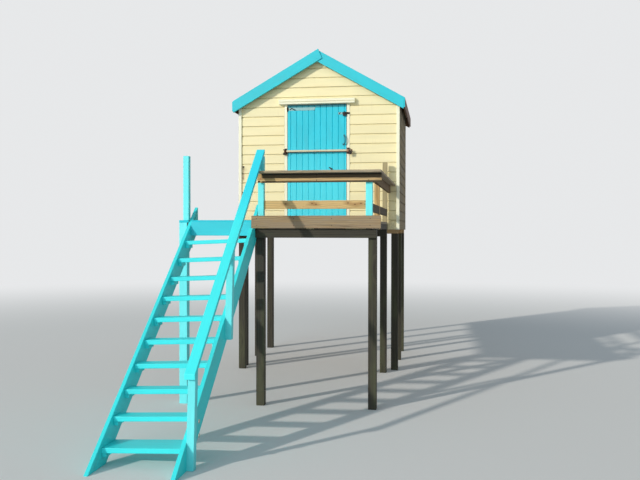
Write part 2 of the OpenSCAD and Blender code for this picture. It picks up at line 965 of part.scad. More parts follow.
// The newels on the right string's outer face lean to the left about the string's upper edge
module stair_newels(grow) {
    mid_y = -deck_d - mid_newel;
    lean = tan(newel_lean);
    for (place = [[mid_y, nosing(mid_y) - mid_newel_down], [hand_low_y, -drop]])
        multmatrix([[1, 0, lean, -lean * (nosing(place[0] + newel_w / 2) + string_up)], [0, 1, 0, 0],
                    [0, 0, 1, 0], [0, 0, 0, 1]])
            newel(string_r_out, string_r_out + newel_w, place[0], place[1], grow);
}

module newels() {
    color(turquoise) site() {
        newel(top_newel_x, top_newel_x + newel_w, post_front, joist_z, 0);
        stair_newels(0);
        block([deck_left - newel_w, post_front, 0], [deck_left, post_front + newel_w, left_newel_top]);
        leg(deck_edge - deck_leg / 2, post_front + deck_leg / 2, deck_leg, -deck_t);
    }
}

hand_in = 7;

module handrail() {
    y0 = hand_low_y - hand_front;
    y1 = post_front + hand_back;
    x0 = string_r_out - hand_in;
    color(turquoise) site()
        sideways(x0, x0 + hand_w)
            polygon([[y0, hand_under(y0)], [y1, hand_under(y1)], [y1, hand_under(y1) + hand_drop],
                     [y0, hand_under(y0) + hand_drop]]);
}

hut_legs();
floor_bearers();
floor_joists();
hut_floor();
front_wall_left();
front_wall_right();
front_gable();
left_wall();
right_wall();
back_wall();
wall_studs();
corner_boards();
roof_left();
roof_right();
roof_purlins();
bargeboard_left();
bargeboard_right();
bargeboards_back();
eave_fascias();
door_frame();
door_sill();
door_canopy();
door_leaf();
door_ledges();
door_straps();
door_furniture();
locking_bar();
jamb_fittings();
deck_boards();
deck_joists();
deck_beams();
deck_fascia();
landing_board();
deck_legs();
rail_caps();
rail_boards();
mid_rails();
rail_post_front();
rail_posts_back();
string_left();
string_right();
stair_treads();
tread_cleats();
newels();
handrail();
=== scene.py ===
"""Dresses a timber beach hut on legs: its boarding, felt, door, ironwork, deck, rails and open stair."""
import math
import random

import bmesh
import bpy
from bpy.props import FloatProperty, FloatVectorProperty, PointerProperty
from mathutils import Matrix, Vector, noise


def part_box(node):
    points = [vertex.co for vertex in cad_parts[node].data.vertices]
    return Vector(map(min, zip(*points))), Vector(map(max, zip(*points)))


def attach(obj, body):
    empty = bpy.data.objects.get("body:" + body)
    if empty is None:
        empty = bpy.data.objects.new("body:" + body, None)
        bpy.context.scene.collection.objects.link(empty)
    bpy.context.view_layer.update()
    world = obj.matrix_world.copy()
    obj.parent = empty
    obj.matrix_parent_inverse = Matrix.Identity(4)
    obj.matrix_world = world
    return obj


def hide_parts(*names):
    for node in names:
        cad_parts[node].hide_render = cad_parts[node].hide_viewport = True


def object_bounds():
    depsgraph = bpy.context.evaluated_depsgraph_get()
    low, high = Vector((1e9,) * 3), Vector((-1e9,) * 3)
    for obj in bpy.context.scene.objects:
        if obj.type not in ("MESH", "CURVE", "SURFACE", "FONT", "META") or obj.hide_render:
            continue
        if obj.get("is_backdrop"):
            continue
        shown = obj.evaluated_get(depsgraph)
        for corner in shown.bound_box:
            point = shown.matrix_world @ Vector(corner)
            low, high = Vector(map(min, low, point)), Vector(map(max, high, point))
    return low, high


bl_info = {
    "name": "Beach Hut",
    "version": (1, 0, 0),
    "blender": (4, 5, 0),
    "location": "View3D > Sidebar > Beach Hut",
    "description": "Dresses a beach hut's frame with boards, felt, paint and ironwork",
    "category": "Object",
}

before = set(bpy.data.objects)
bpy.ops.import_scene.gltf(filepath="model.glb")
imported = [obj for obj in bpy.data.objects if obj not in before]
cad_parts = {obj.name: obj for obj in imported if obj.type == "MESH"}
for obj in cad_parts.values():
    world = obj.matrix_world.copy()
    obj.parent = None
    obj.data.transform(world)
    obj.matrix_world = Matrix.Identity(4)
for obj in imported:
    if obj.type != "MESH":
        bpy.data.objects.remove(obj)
cad_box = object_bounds()

X, Y, Z = Vector((1, 0, 0)), Vector((0, 1, 0)), Vector((0, 0, 1))

# Planes and sizes of the frame that many pieces share
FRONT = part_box("front_wall_left")[0].y
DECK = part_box("deck_boards")[1].z
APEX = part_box("back_wall")[1].z
HALF_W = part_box("back_wall")[1].x
WALL_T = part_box("right_wall")[1].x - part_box("right_wall")[0].x
SLOPE = (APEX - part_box("right_wall")[1].z) / (HALF_W - WALL_T)
PITCH = math.atan(SLOPE)
ROOF_T, LAYERS = 0.0239, 3
TREADS, RISE, GOING, TREAD_D = 10, 0.1925, 0.240, 0.165

# Places along X and Y, and heights above the deck
HOOK_X, HOOK_UP = -1.132, 0.830
HASP_UP, LOCK_UP = 1.600, 0.795
HAND_JOINT = -2.05

# The middle rail's knots, along X and down from its top
KNOTS = ((0.030, 0.039), (0.338, 0.034), (0.384, 0.043), (0.752, 0.030), (0.832, 0.046), (0.900, 0.036))

# How near two points are one, how far a blank runs past its cut, and the gap of a butt joint
MERGE, SLACK, JOINT = 1e-5, 0.03, 0.001

# The strength and colour of the even light, and the colour behind the hut
AMBIENT, SKYLIGHT, BACKDROP = 0.34, (0.80, 0.91, 1.0), (0.80, 0.81, 0.82)

FINISHES = {}
SLOTS = {
    "cream_paint": ("cream", "trim"),
    "turquoise_paint": ("turquoise", "aqua", "post", "handrail"),
    "door_paint": ("door", "shadow_teal"),
    "roof_felt": ("felt",),
    "brown_timber": ("brown",),
    "rail_timber": ("cap", "top", "mid", "side_post"),
    "grey_brown_timber": ("side", "fascia"),
    "deck_timber": ("deck",),
    "weathered_timber": ("old",),
    "bare_timber": ("bare",),
    "black_iron": ("iron", "rusty", "strap"),
    "galvanised_steel": ("zinc", "hasp"),
}
SLOT_OF = {finish: slot for slot, finishes in SLOTS.items() for finish in finishes}


def tint(code):
    """A colour in linear light from its six-figure screen code."""
    parts = [int(code[i:i + 2], 16) / 255 for i in (0, 2, 4)]
    return tuple(p / 12.92 if p <= 0.04045 else ((p + 0.055) / 1.055) ** 2.4 for p in parts)


def dim(colour, share):
    """A colour made darker or lighter by a factor."""
    return tuple(min(1.0, c * share) for c in colour)


def length(name, default, about):
    return FloatProperty(name=name, description=about, default=default, min=0.0, unit="LENGTH", precision=4)


def paint(name, code, about):
    return FloatVectorProperty(name=name, description=about, default=tint(code), min=0.0, max=1.0,
                               subtype="COLOR")


class HutSizes(bpy.types.PropertyGroup):
    """Sizes of what is added to the frame."""

    wall_board: length("Wall board", 0.140, "Pitch of the wall boards")
    wall_line: length("Wall line", 0.0375, "Height of a wall board's lower edge above the deck's level")
    cove_h: length("Cove height", 0.019, "Height of the hollow along a wall board's upper edge")
    cove_d: length("Cove depth", 0.012, "Depth of the hollow along a wall board's upper edge")
    door_board: length("Door board", 0.0891, "Pitch of the door boards")
    door_first: length("First door board", 0.046, "Width of the cut board on the door's hinge side")
    groove: length("Door groove", 0.0065, "Depth and half width of the grooves between door boards")
    deck_board: length("Deck board", 0.145, "Width of the deck boards")
    deck_gap: length("Deck gap", 0.005, "Gap between deck boards")
    roof_board: length("Roof board", 0.145, "Width of the boards under the felt")
    felt_t: length("Felt", 0.003, "Thickness of one layer of felt")
    felt_lap: length("Felt lap", 0.09, "Lap of one strip of felt over the next")
    arris: length("Arris", 0.003, "Rounding along the edges of planed timber")
    nail: length("Nail head", 0.0035, "Radius of a nail head")
    bolt: length("Bolt head", 0.011, "Radius of a domed bolt head")


class HutColours(bpy.types.PropertyGroup):
    """Colours of the finishes."""

    cream: paint("Cream", "F7EBBA", "Paint of the front wall")
    trim: paint("Trim", "F8F6DA", "Paint of the door frame, the canopy and the corner boards")
    turquoise: paint("Turquoise", "22C8D6", "Paint of the bargeboards and the landing board")
    aqua: paint("Aqua", "34E6EA", "Paint of the strings, treads and cleats")
    post: paint("Post", "6CECF0", "Paint of the newels and the front rail post")
    door: paint("Door", "1DC9DD", "Paint of the door")
    brown: paint("Brown", "735140", "Stain of the eave boards and the back bargeboards")
    side: paint("Side", "8C7B58", "Weathered boards of the sides and the back")
    rail: paint("Rail", "CFAB70", "Sawn timber of the rail boards and the side posts")
    fascia: paint("Fascia", "A58A60", "Weathered timber of the fascia")
    deck: paint("Deck", "9A8A70", "Weathered timber of the deck")
    # The old timber's colour is weathered timber made darker still, as painted shade for the shade under the
    # deck.
    old: paint("Old timber", "3C382B", "Timber of the legs and of the deck's beams and joists")
    bare: paint("Bare timber", "CBA878", "Planed timber inside the hut")
    felt: paint("Felt", "4A4D49", "Mineral felt of the roof")
    iron: paint("Iron", "2E2A28", "Blackened iron of the padlocks, the hook and the nails of the rails")
    zinc: paint("Zinc", "B9BDAE", "Galvanised nails of the felt, screws of the deck and bolts of the newels")
    rust: paint("Rust", "6E3A1E", "Rust on the ironwork")
    floor: paint("Floor", "E6E6E4", "Studio floor")


def sizes():
    return bpy.context.scene.hut_sizes


def chosen(name):
    """One of the colours that the panel lists."""
    return tuple(getattr(bpy.context.scene.hut_colours, name))


class Wire:
    """A number on its way through a node tree, on which sums add Math nodes."""

    def __init__(self, nodes, socket):
        self.nodes = nodes
        self.socket = socket

    def __add__(self, other):
        return self.nodes.math("ADD", self, other)

    __radd__ = __add__

    def __sub__(self, other):
        return self.nodes.math("SUBTRACT", self, other)

    def __rsub__(self, other):
        return self.nodes.math("SUBTRACT", other, self)

    def __mul__(self, other):
        return self.nodes.math("MULTIPLY", self, other)

    __rmul__ = __mul__

    def __abs__(self):
        return self.nodes.math("ABSOLUTE", self)

    def below(self, other):
        return self.nodes.math("MINIMUM", self, other)

    def above(self, other):
        return self.nodes.math("MAXIMUM", self, other)


class Nodes:
    """A node tree that is filled node by node."""

    def __init__(self, tree):
        self.tree = tree
        self.tree.nodes.clear()

    def add(self, kind, settings=None, sockets=None, out=0):
        """Adds a node, sets it up, fills its sockets with values or wires and returns one output."""
        made = self.tree.nodes.new(kind)
        for key, value in (settings or {}).items():
            setattr(made, key, value)
        for key, value in (sockets or {}).items():
            socket = made.inputs[key]
            if isinstance(value, Wire):
                self.tree.links.new(value.socket, socket)
            elif socket.type == "RGBA" and len(value) == 3:
                socket.default_value = (*value, 1.0)
            else:
                socket.default_value = value
        return Wire(self, made.outputs[out]) if made.outputs else None

    def math(self, operation, *values):
        return self.add("ShaderNodeMath", {"operation": operation}, dict(enumerate(values)))

    def looked_at(self):
        """1 for the rays of the camera and those that metal and glass send on, 0 for the light."""
        path = self.add("ShaderNodeLightPath").socket.node
        camera, glossy, through = (Wire(self, path.outputs[f"Is {kind} Ray"])
                                   for kind in ("Camera", "Glossy", "Transmission"))
        return camera.above(glossy).above(through)


class Pot(Nodes):
    """One material, mixed from nodes, whose base colour is laid in layers."""

    def __init__(self, name, colour):
        self.material = bpy.data.materials.new(name)
        self.material.use_nodes = True
        self.colour = self.base = colour
        super().__init__(self.material.node_tree)

    def mark(self, name):
        """What mark_grain wrote on the solids under a name."""
        return self.add("ShaderNodeAttribute", {"attribute_name": name}, out="Vector")

    def place(self):
        return self.add("ShaderNodeTexCoord", out="Object")

    def vector(self, operation, *values, out=0):
        return self.add("ShaderNodeVectorMath", {"operation": operation}, dict(enumerate(values)), out)

    def parts(self, vector=None):
        """The three numbers of a vector, which is the place unless another is given."""
        split = self.add("ShaderNodeSeparateXYZ", sockets={0: vector or self.place()})
        return [Wire(self, output) for output in split.socket.node.outputs]

    def own_place(self):
        """A solid's place along and across its grain, shifted so that no two solids look alike."""
        return self.vector("ADD", self.mark("grain"), self.vector("MULTIPLY", self.mark("lot"), (37.0,) * 3))

    def edge_reach(self):
        """How far a point lies from the nearest edge of its solid, in metres."""
        left = self.vector("SUBTRACT", self.mark("half"), self.vector("ABSOLUTE", self.mark("grain")))
        x, y, z = self.parts(left)
        return x.below(y).above(x.above(y).below(z))

    def tone(self):
        """A number from 0 to 1 that differs from solid to solid."""
        return self.parts(self.mark("lot"))[1]

    def away(self, spot, stretch=(1.0, 1.0, 1.0)):
        """How far the place lies from a spot, with each axis stretched by its own factor."""
        way = self.vector("MULTIPLY", self.vector("SUBTRACT", self.place(), spot), stretch)
        return self.vector("LENGTH", way, out="Value")

    def noise(self, where, scale, detail=3.0, rough=0.55):
        """Noise of one scale, or of one for each axis."""
        if isinstance(scale, tuple):
            where, scale = self.vector("MULTIPLY", where, scale), 1.0
        return self.add("ShaderNodeTexNoise", sockets={
            "Vector": where, "Scale": scale, "Detail": detail, "Roughness": rough})

    def cells(self, where, scale, out="Distance"):
        return self.add("ShaderNodeTexVoronoi", sockets={"Vector": where, "Scale": scale}, out=out)

    def fade(self, value, low, high):
        """0 below low, 1 above high and smooth between; the other way round if low is the higher."""
        if low > high:
            return 1.0 - self.fade(value, high, low)
        return self.add("ShaderNodeMapRange", {"interpolation_type": "SMOOTHSTEP"},
                        {"Value": value, "From Min": low, "From Max": high})

    def mix(self, share, first, second):
        return self.add("ShaderNodeMix", {"data_type": "RGBA"}, {0: share, 6: first, 7: second}, out=2)

    def blend(self, share, colour):
        """Lays a colour, or that of a screen code, over the base."""
        self.base = self.mix(share, self.base, tint(colour) if isinstance(colour, str) else colour)

    def shade(self, share, factor):
        """Lays the pot's own colour, made darker or lighter by a factor, over the base."""
        self.blend(share, dim(self.colour, factor))

    def ground(self, share, first, second):
        """Starts the base between two shades of the pot's own colour."""
        self.base = self.mix(share, dim(self.colour, first), dim(self.colour, second))

    def cover(self, rough, height, depth, strength, metal=0.0):
        """Ends the material with its base colour and a relief."""
        relief = self.add("ShaderNodeBump", sockets={
            "Height": height, "Distance": depth, "Strength": strength})
        shader = self.add("ShaderNodeBsdfPrincipled", sockets={
            "Base Color": self.base, "Roughness": rough, "Metallic": metal, "Normal": relief})
        self.add("ShaderNodeOutputMaterial", sockets={"Surface": shader})
        return self.material


def mix_paint(name, colour, bare, wear, rough=0.42, dirt="6B5E48", mottle=0.05, touch=None):
    """Brushed gloss paint on boards, thin along the arrises and a little dirty."""
    pot = Pot(name, colour)
    at = pot.own_place()
    brush = pot.noise(at, (3.0, 70.0, 70.0), 4.0)
    broad = pot.noise(at, (1.2, 4.0, 4.0))
    fine = pot.noise(at, 55.0)
    pot.ground(pot.fade(broad, 0.3, 0.7), 1 - mottle, 1 + mottle)
    pot.shade(pot.tone() * 0.25, 0.93)
    pot.shade(pot.fade(brush, 0.35, 0.75) * 0.22, 0.86)
    soil = pot.fade(pot.noise(at, (2.0, 9.0, 9.0), 5.0, 0.7), 0.54, 0.78)
    pot.blend(soil * 0.16, dirt)
    reach = pot.edge_reach() + fine * 0.006 + broad * 0.008
    worn = pot.fade(reach, 0.0085 + wear * 0.002, 0.0065) * pot.fade(fine, 0.42, 0.60) * min(1.0, wear)
    chips = pot.fade(pot.noise(at, 26.0, 4.0, 0.7), 0.735, 0.765) * wear
    gone = worn.above(chips)
    pot.blend(gone, bare)
    if touch:
        touch(pot)
    height = brush * 0.55 + fine * 0.2 - gone * 0.8
    return pot.cover(rough + broad * 0.18 + gone * 0.3, height, 0.0012, 0.55)


def mix_timber(name, colour, grain=0.45, knots=0.5, silver=0.3, rough=0.78, cracks=0.6, stain=None,
               touch=None):
    """Sawn timber with its rings, knots, cracks and a silvered face."""
    pot = Pot(name, colour)
    at = pot.own_place()
    knot_at = pot.vector("MULTIPLY", at, (1.9, 8.0, 8.0))
    near = pot.cells(knot_at, 1.0)
    kept = pot.fade(pot.parts(pot.cells(knot_at, 1.0, out="Color"))[0], 0.62, 0.66)
    knot = pot.fade(near, 0.17, 0.06) * kept
    halo = pot.fade(near, 0.42, 0.10) * kept
    drift = pot.noise(at, (0.9, 5.0, 5.0))
    _, y, z = pot.parts(at)
    phase = (y + z * 0.55) * 260.0 + drift * 26.0 + halo * 7.0
    rings = pot.math("SINE", phase) * 0.5 + 0.5
    fibre = pot.noise(at, (5.0, 180.0, 180.0), 4.0)
    broad = pot.noise(at, (1.0, 7.0, 7.0))
    pot.ground(pot.fade(rings * 0.6 + fibre * 0.6, 0.25, 0.95), 1 + grain * 0.45, 1 - grain)
    pot.shade(pot.fade(broad, 0.35, 0.7) * 0.5, 0.78)
    grey = dim((sum(colour) / 3,) * 3, 1.12)
    pot.blend(pot.fade(broad * 0.5 + fibre * 0.5, 0.42, 0.62) * silver, grey)
    pot.shade(pot.tone() * 0.35, 0.72)
    if stain:
        pot.blend(pot.fade(drift, 0.48, 0.66) * 0.35, stain)
    pot.shade(halo * knots * 0.45, 0.42)
    pot.shade(knot * knots, 0.16)
    split = pot.fade(pot.noise(at, (1.6, 120.0, 60.0), 2.0), 0.655, 0.69) * cracks
    pot.shade(split, 0.12)
    worn = pot.fade(pot.edge_reach() + broad * 0.006, 0.006, 0.0035)
    pot.shade(worn * 0.35, 1.25)
    if touch:
        touch(pot)
    height = rings * 0.25 + fibre * 0.75 - split * 2.0 + knot * 0.4
    return pot.cover(rough + broad * 0.15, height, 0.0016, 0.7)


def mix_felt(colour):
    """Roofing felt with mineral grit, faded in streaks that run down the slope."""
    pot = Pot("mineral_felt", colour)
    at = pot.place()
    grit = pot.noise(at, 620.0, 2.0, 0.6)
    streak = pot.noise(at, (0.8, 7.0, 0.8), 4.0)
    moss = pot.fade(pot.noise(at, 9.0, 5.0, 0.65), 0.60, 0.72)
    pot.ground(pot.fade(grit, 0.35, 0.7), 0.55, 1.7)
    pot.shade(pot.fade(streak, 0.4, 0.7) * 0.4, 1.9)
    pot.blend(moss * 0.55, "5E6240")
    return pot.cover(0.92, grit + moss * 0.8, 0.0015, 0.9)


def mix_metal(name, colour, rust, rusted, rough=0.45, spangle=0.0, where=None, touch=None):
    """Iron or zinc with rust that starts in patches, and lies thick at some known places."""
    pot = Pot(name, colour)
    at = pot.place()
    cloud = pot.noise(at, 34.0, 5.0, 0.65)
    fine = pot.noise(at, 260.0)
    facets = pot.parts(pot.cells(at, 90.0, out="Color"))[0]
    pot.shade(facets * spangle, 0.62)
    pot.shade(pot.fade(fine, 0.4, 0.7) * 0.3, 0.7)
    bloom = pot.fade(cloud, 0.66 - rusted * 0.22, 0.74 - rusted * 0.16)
    if where:
        bloom = bloom.above(where(pot))
    pot.blend(bloom, pot.mix(fine, dim(rust, 0.5), dim(rust, 1.5)))
    if touch:
        touch(pot)
    metal = (1.0 - bloom) * 0.75
    return pot.cover(rough + bloom * 0.4 + fine * 0.1, cloud * 0.6 + fine, 0.0006, 0.6, metal)


def mix_cream(colour):
    """The front's cream paint, with rust run down from the hook, dirt splashed up from the deck, and painted
    shade in the hollow along each board's top.
    """
    s = sizes()
    pot = Pot("cream_paint", colour)
    at, spot = pot.own_place(), pot.place()
    brush = pot.noise(at, (2.5, 60.0, 60.0), 4.0)
    broad = pot.noise(at, (1.0, 6.0, 6.0))
    fine = pot.noise(at, 50.0)
    pot.ground(pot.fade(broad, 0.3, 0.7), 0.95, 1.04)
    pot.blend(pot.fade(broad, 0.52, 0.75) * 0.30, "E9D49A")
    pot.blend(pot.tone() * 0.22, "EDE6BE")
    pot.shade(pot.fade(brush, 0.4, 0.8) * 0.15, 0.88)
    x, _, z = pot.parts(spot)
    up = z - DECK
    splash = pot.fade(up + broad * 0.16, 0.30, 0.02) * pot.fade(fine, 0.35, 0.65)
    pot.blend(splash * 0.30, "8F7F5E")
    runs = pot.noise(spot, (26.0, 26.0, 2.2))
    pot.blend(pot.fade(runs, 0.60, 0.78) * 0.10, "A08C62")
    off = abs(x - HOOK_X + (runs - 0.5) * 0.05)
    fall = pot.fade(off, 0.030, 0.006) * pot.fade(up, 0.60, 0.66) * pot.fade(up, HOOK_UP + 0.005, 0.80)
    pot.blend(fall * pot.fade(runs, 0.38, 0.62) * 0.75, chosen("rust"))
    # painted shade in the hollow along each board's upper edge, under the board above
    row = pot.math("FRACT", (up - s.wall_line) * (1 / s.wall_board))
    hollow = pot.fade(row, 1 - 0.9 * s.cove_h / s.wall_board, 0.98)
    pot.blend(hollow * (runs * 0.3 + 0.32), "8F8457")
    chips = pot.fade(pot.edge_reach() + fine * 0.006, 0.0048, 0.0038) * pot.fade(fine, 0.5, 0.62) * 0.5
    pot.blend(chips, "A6977A")
    return pot.cover(0.46 + broad * 0.15, brush * 0.5 + fine * 0.2 - chips, 0.0011, 0.5)


def bar_shade_and_rust(pot):
    """Painted shade along the locking bar's lower edge, in a dark rust colour, and rust round its pin."""
    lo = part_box("locking_bar")[0]
    x, _, z = pot.parts()
    # the lower edge is painted shade; the left end is rust round the pin
    return pot.fade(z, lo.z + 0.010, lo.z + 0.007).above(pot.fade(x, lo.x + 0.040, lo.x + 0.030))


def red_end(pot):
    """The locking bar's free end has rusted red over the jamb."""
    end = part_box("locking_bar")[1].x
    pot.blend(pot.fade(pot.parts()[0], end - 0.092, end - 0.084) * 0.85, "A0705C")


def painted_plates(pot):
    """The hinges' plates on the jamb are painted over; the knuckles, the bracket and the staple are bare."""
    x, _, z = pot.parts()
    bar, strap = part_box("locking_bar"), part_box("door_straps")[0]
    off = abs(z - (bar[0].z + bar[1].z) / 2)
    pot.blend(pot.fade(x, strap.x - 0.001, strap.x - 0.003) * pot.fade(off, 0.10, 0.12), chosen("trim"))


def door_bounce_light_and_canopy_shadow(pot):
    """Painted light and shade on the door: its top is painted dark as the canopy's shadow, and its lower half
    lighter as light thrown up from the deck.
    """
    z, top = pot.parts()[2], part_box("door_leaf")[1].z
    # painted shadow of the canopy along the door's top
    pot.blend(pot.fade(z, top - 0.050, top - 0.030) * 0.80, "0B6470")
    # painted light, thrown up from the deck, over the door's lower half
    pot.blend(pot.fade(z - DECK, 1.45, 0.40) * 0.52, "5CECFA")


def strap_rust(pot):
    """A winding streak of rust on the upper strap hinge."""
    lo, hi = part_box("door_straps")
    x, _, z = pot.parts()
    wave = pot.math("SINE", (x - lo.x) * 62.0)
    off = abs(z - (hi.z - 0.028) + wave * 0.011)
    ends = pot.fade(x, lo.x + 0.040, lo.x + 0.050) * pot.fade(x, lo.x + 0.138, lo.x + 0.128)
    return pot.fade(off, 0.010, 0.006) * ends


def rail_board_shade_and_wear(pot):
    """Painted shade on the rail boards: the cap's shadow over the front board's upper part, a dark line under
    the cap, shade along the board's lower edge and on the side boards' faces; the red mark round the bolt is
    wear.
    """
    at = pot.place()
    x, y, z = pot.parts(at)
    lo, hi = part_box("rail_boards")
    # painted shadow of the cap over the front board's upper part, and painted shade along its lower edge
    cap_shadow = pot.fade(z + pot.noise(at, 7.0) * 0.012, lo.z + 0.046, lo.z + 0.057).above(
        pot.fade(z, lo.z + 0.021, lo.z + 0.015))
    front = pot.fade(y, lo.y + 0.045, lo.y + 0.040) * pot.fade(x, lo.x + 0.045, lo.x + 0.065)
    pot.blend(cap_shadow * front * 0.86, "241E15")
    # a painted line of shadow right under the cap
    pot.blend(pot.fade(z, hi.z - 0.024, hi.z - 0.010) * front * 0.85, "0C0905")
    bolt = pot.away((lo.x + 0.039, lo.y, lo.z + 0.046))
    pot.blend(pot.fade(bolt, 0.016, 0.010) * 0.8, "B87C5A")
    # painted shade: the side boards darkened where their faces turn from the light
    pot.blend(pot.fade(y, lo.y + 0.045, lo.y + 0.055) * 0.93, "5C4627")


def knots_and_side_rail_shade(pot):
    """The front middle rail has its knots in their places, and the side ones are darkened as painted shade.
    """
    lo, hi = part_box("mid_rails")
    for x, down in KNOTS:
        off = pot.away((x, lo.y, hi.z - down), (0.6, 1.0, 1.3))
        pot.blend(pot.fade(off, 0.045, 0.008) * 0.45, "8A5A2C")
        pot.blend(pot.fade(off, 0.010, 0.005) * 0.8, "55351C")
    # painted shade: the side middle rails darkened where they face away from the light
    pot.blend(pot.fade(pot.parts()[1], lo.y + 0.045, lo.y + 0.055) * 0.96, "2E271A")


def deep_top(pot):
    """The handrail's paint is a shade bluer towards its top."""
    lo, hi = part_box("handrail")
    rise = hi.z - lo.z
    pot.blend(pot.fade(pot.parts()[2], lo.z + 0.55 * rise, lo.z + 0.83 * rise) * 0.9, "22DAF0")


def painted_edge(pot):
    """The deck boards' front edge over the landing board is painted with it."""
    x, y, _ = pot.parts()
    side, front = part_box("string_right")[0].x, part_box("deck_boards")[0].y
    edge = pot.fade(y, front + 0.005, front + 0.003)
    pot.blend(edge * pot.fade(x, side + 0.002, side), chosen("turquoise"))


def painted_ends(pot):
    """The eave boards' front ends are painted with the bargeboards."""
    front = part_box("eave_fascias")[0].y
    pot.blend(pot.fade(pot.parts()[1], front + 0.012, front + 0.010), chosen("turquoise"))


def bare_feet(pot):
    """The feet of the deck's front posts show bare under the fascia."""
    x, y, z = pot.parts()
    lo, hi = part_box("deck_fascia")
    foot = pot.fade(z, lo.z + 0.012, lo.z + 0.006) * pot.fade(y, lo.y, hi.y)
    pot.blend(foot * pot.fade(x, lo.x, lo.x + 0.02), chosen("old"))


def grey_wall_post(pot):
    """The side rail's last post, against the wall, has gone grey."""
    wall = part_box("rail_posts_back")[1].y
    pot.blend(pot.fade(pot.parts()[1], wall - 0.12, wall - 0.10) * 0.75, "A09A78")


def mix_finishes():
    """Every finish, under the name by which the pieces ask for it."""
    undercoat, grey, rust = tint("CFC9B6"), tint("9B9585"), chosen("rust")
    rail, steel = chosen("rail"), tint("35302B")
    FINISHES.update({
        "cream": mix_cream(chosen("cream")),
        "turquoise": mix_paint("turquoise_paint", chosen("turquoise"), undercoat, wear=0.35),
        "trim": mix_paint("trim_paint", chosen("trim"), grey, wear=0.3, rough=0.5, mottle=0.02),
        "aqua": mix_paint("stair_paint", chosen("aqua"), grey, wear=0.6, dirt="4E6A62"),
        "handrail": mix_paint("handrail_paint", tint("40F2F5"), grey, wear=0.6, dirt="4E6A62",
                              touch=deep_top),
        "post": mix_paint("post_paint", chosen("post"), grey, wear=0.7, dirt="5E6A62", touch=bare_feet),
        # The door's paint carries a painted canopy shadow at its top and painted light on its lower half.
        "door": mix_paint("door_paint", chosen("door"), undercoat, wear=0.2, rough=0.36, mottle=0.09,
                          touch=door_bounce_light_and_canopy_shadow),
        # The handle's dark blue-green is painted shadow: it stands in for the handle's shadow on the door.
        "shadow_teal": mix_paint("handle_paint", tint("14606C"), undercoat, wear=0.1, rough=0.4),
        "brown": mix_timber("brown_stain", chosen("brown"), grain=0.3, knots=0.3, silver=0.15, rough=0.6,
                            touch=painted_ends),
        "side": mix_timber("side_boards", chosen("side"), grain=0.35, knots=0.4, silver=0.45),
        "cap": mix_timber("cap_timber", tint("A89678"), grain=0.35, silver=0.45),
        # The top boards carry painted shade under the cap and on the side boards.
        "top": mix_timber("top_board_timber", rail, grain=0.42, knots=0.7, silver=0.2, cracks=0.5,
                          touch=rail_board_shade_and_wear),
        "mid": mix_timber("middle_rail_timber", tint("DDBA7C"), grain=0.26, silver=0.05, cracks=0.4,
                          touch=knots_and_side_rail_shade),
        "side_post": mix_timber("side_post_timber", rail, grain=0.35, knots=0.7, silver=0.15,
                                touch=grey_wall_post),
        "fascia": mix_timber("fascia_timber", chosen("fascia"), grain=0.38, knots=0.6, silver=0.35,
                             stain="8A6A4C"),
        "deck": mix_timber("deck_timber", chosen("deck"), grain=0.35, silver=0.5, touch=painted_edge),
        # weathered timber, darkened further as painted shade for the shade under the deck
        "old": mix_timber("old_timber", chosen("old"), grain=0.4, knots=0.4, silver=0.35, stain="565B3C"),
        "bare": mix_timber("bare_timber", chosen("bare"), grain=0.3, knots=0.8, silver=0.05, rough=0.65,
                           cracks=0.15),
        "felt": mix_felt(chosen("felt")),
        "iron": mix_metal("black_iron", chosen("iron"), rust, rusted=0.55),
        "zinc": mix_metal("zinc", chosen("zinc"), rust, rusted=0.25, rough=0.5, spangle=0.4),
        "strap": mix_metal("strap_zinc", tint("90B8B9"), tint("2E2620"), rusted=0.05, rough=0.6,
                           spangle=0.25, where=strap_rust),
        # Its rust colour is dimmed so that the bar's lower edge reads as painted shade.
        "bar": mix_metal("bar_zinc", tint("C4C2A8"), dim(rust, 0.45), rusted=0.05, rough=0.6, spangle=0.15,
                         where=bar_shade_and_rust, touch=red_end),
        "rusty": mix_metal("rusted_steel", steel, dim(rust, 0.5), rusted=0.6, rough=0.6),
        "jamb_iron": mix_metal("jamb_iron", steel, dim(rust, 0.5), rusted=0.6, rough=0.6,
                               touch=painted_plates),
    })
    FINISHES["hasp"] = FINISHES["strap"]
    dress(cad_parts["locking_bar"], "bar")
    dress(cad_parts["jamb_fittings"], "jamb_iron")


def dress(obj, finish):
    obj.data.materials.clear()
    obj.data.materials.append(FINISHES[finish])


def add_object(name, data):
    obj = bpy.data.objects.new(name, data)
    bpy.context.scene.collection.objects.link(obj)
    return obj


def add_mesh(name, bm):
    mesh = bpy.data.meshes.new(name)
    bm.to_mesh(mesh)
    bm.free()
    return add_object(name, mesh)


def final_mesh(obj):
    """An object's shape with its modifiers, as a mesh of its own."""
    graph = bpy.context.evaluated_depsgraph_get()
    return bpy.data.meshes.new_from_object(obj.evaluated_get(graph))


def settle(obj):
    """Makes the result of an object's modifiers its own plain mesh."""
    mesh = final_mesh(obj)
    obj.modifiers.clear()
    obj.data = mesh
    return obj


def put(obj, finish, body="hut", instead=()):
    """Finishes a piece, lets it ride on a body and hides the nodes of the frame that it stands for."""
    dress(obj, finish)
    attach(obj, body)
    if instead:
        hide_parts(*instead)
    return obj


def solids(bm):
    """The separate solids of a mesh, each as its list of vertices."""
    left = set(bm.verts)
    for start in bm.verts:
        if start not in left:
            continue
        left.discard(start)
        group = [start]
        for vert in group:
            others = [edge.other_vert(vert) for edge in vert.link_edges]
            fresh = [other for other in others if other in left]
            left.difference_update(fresh)
            group += fresh
        yield group


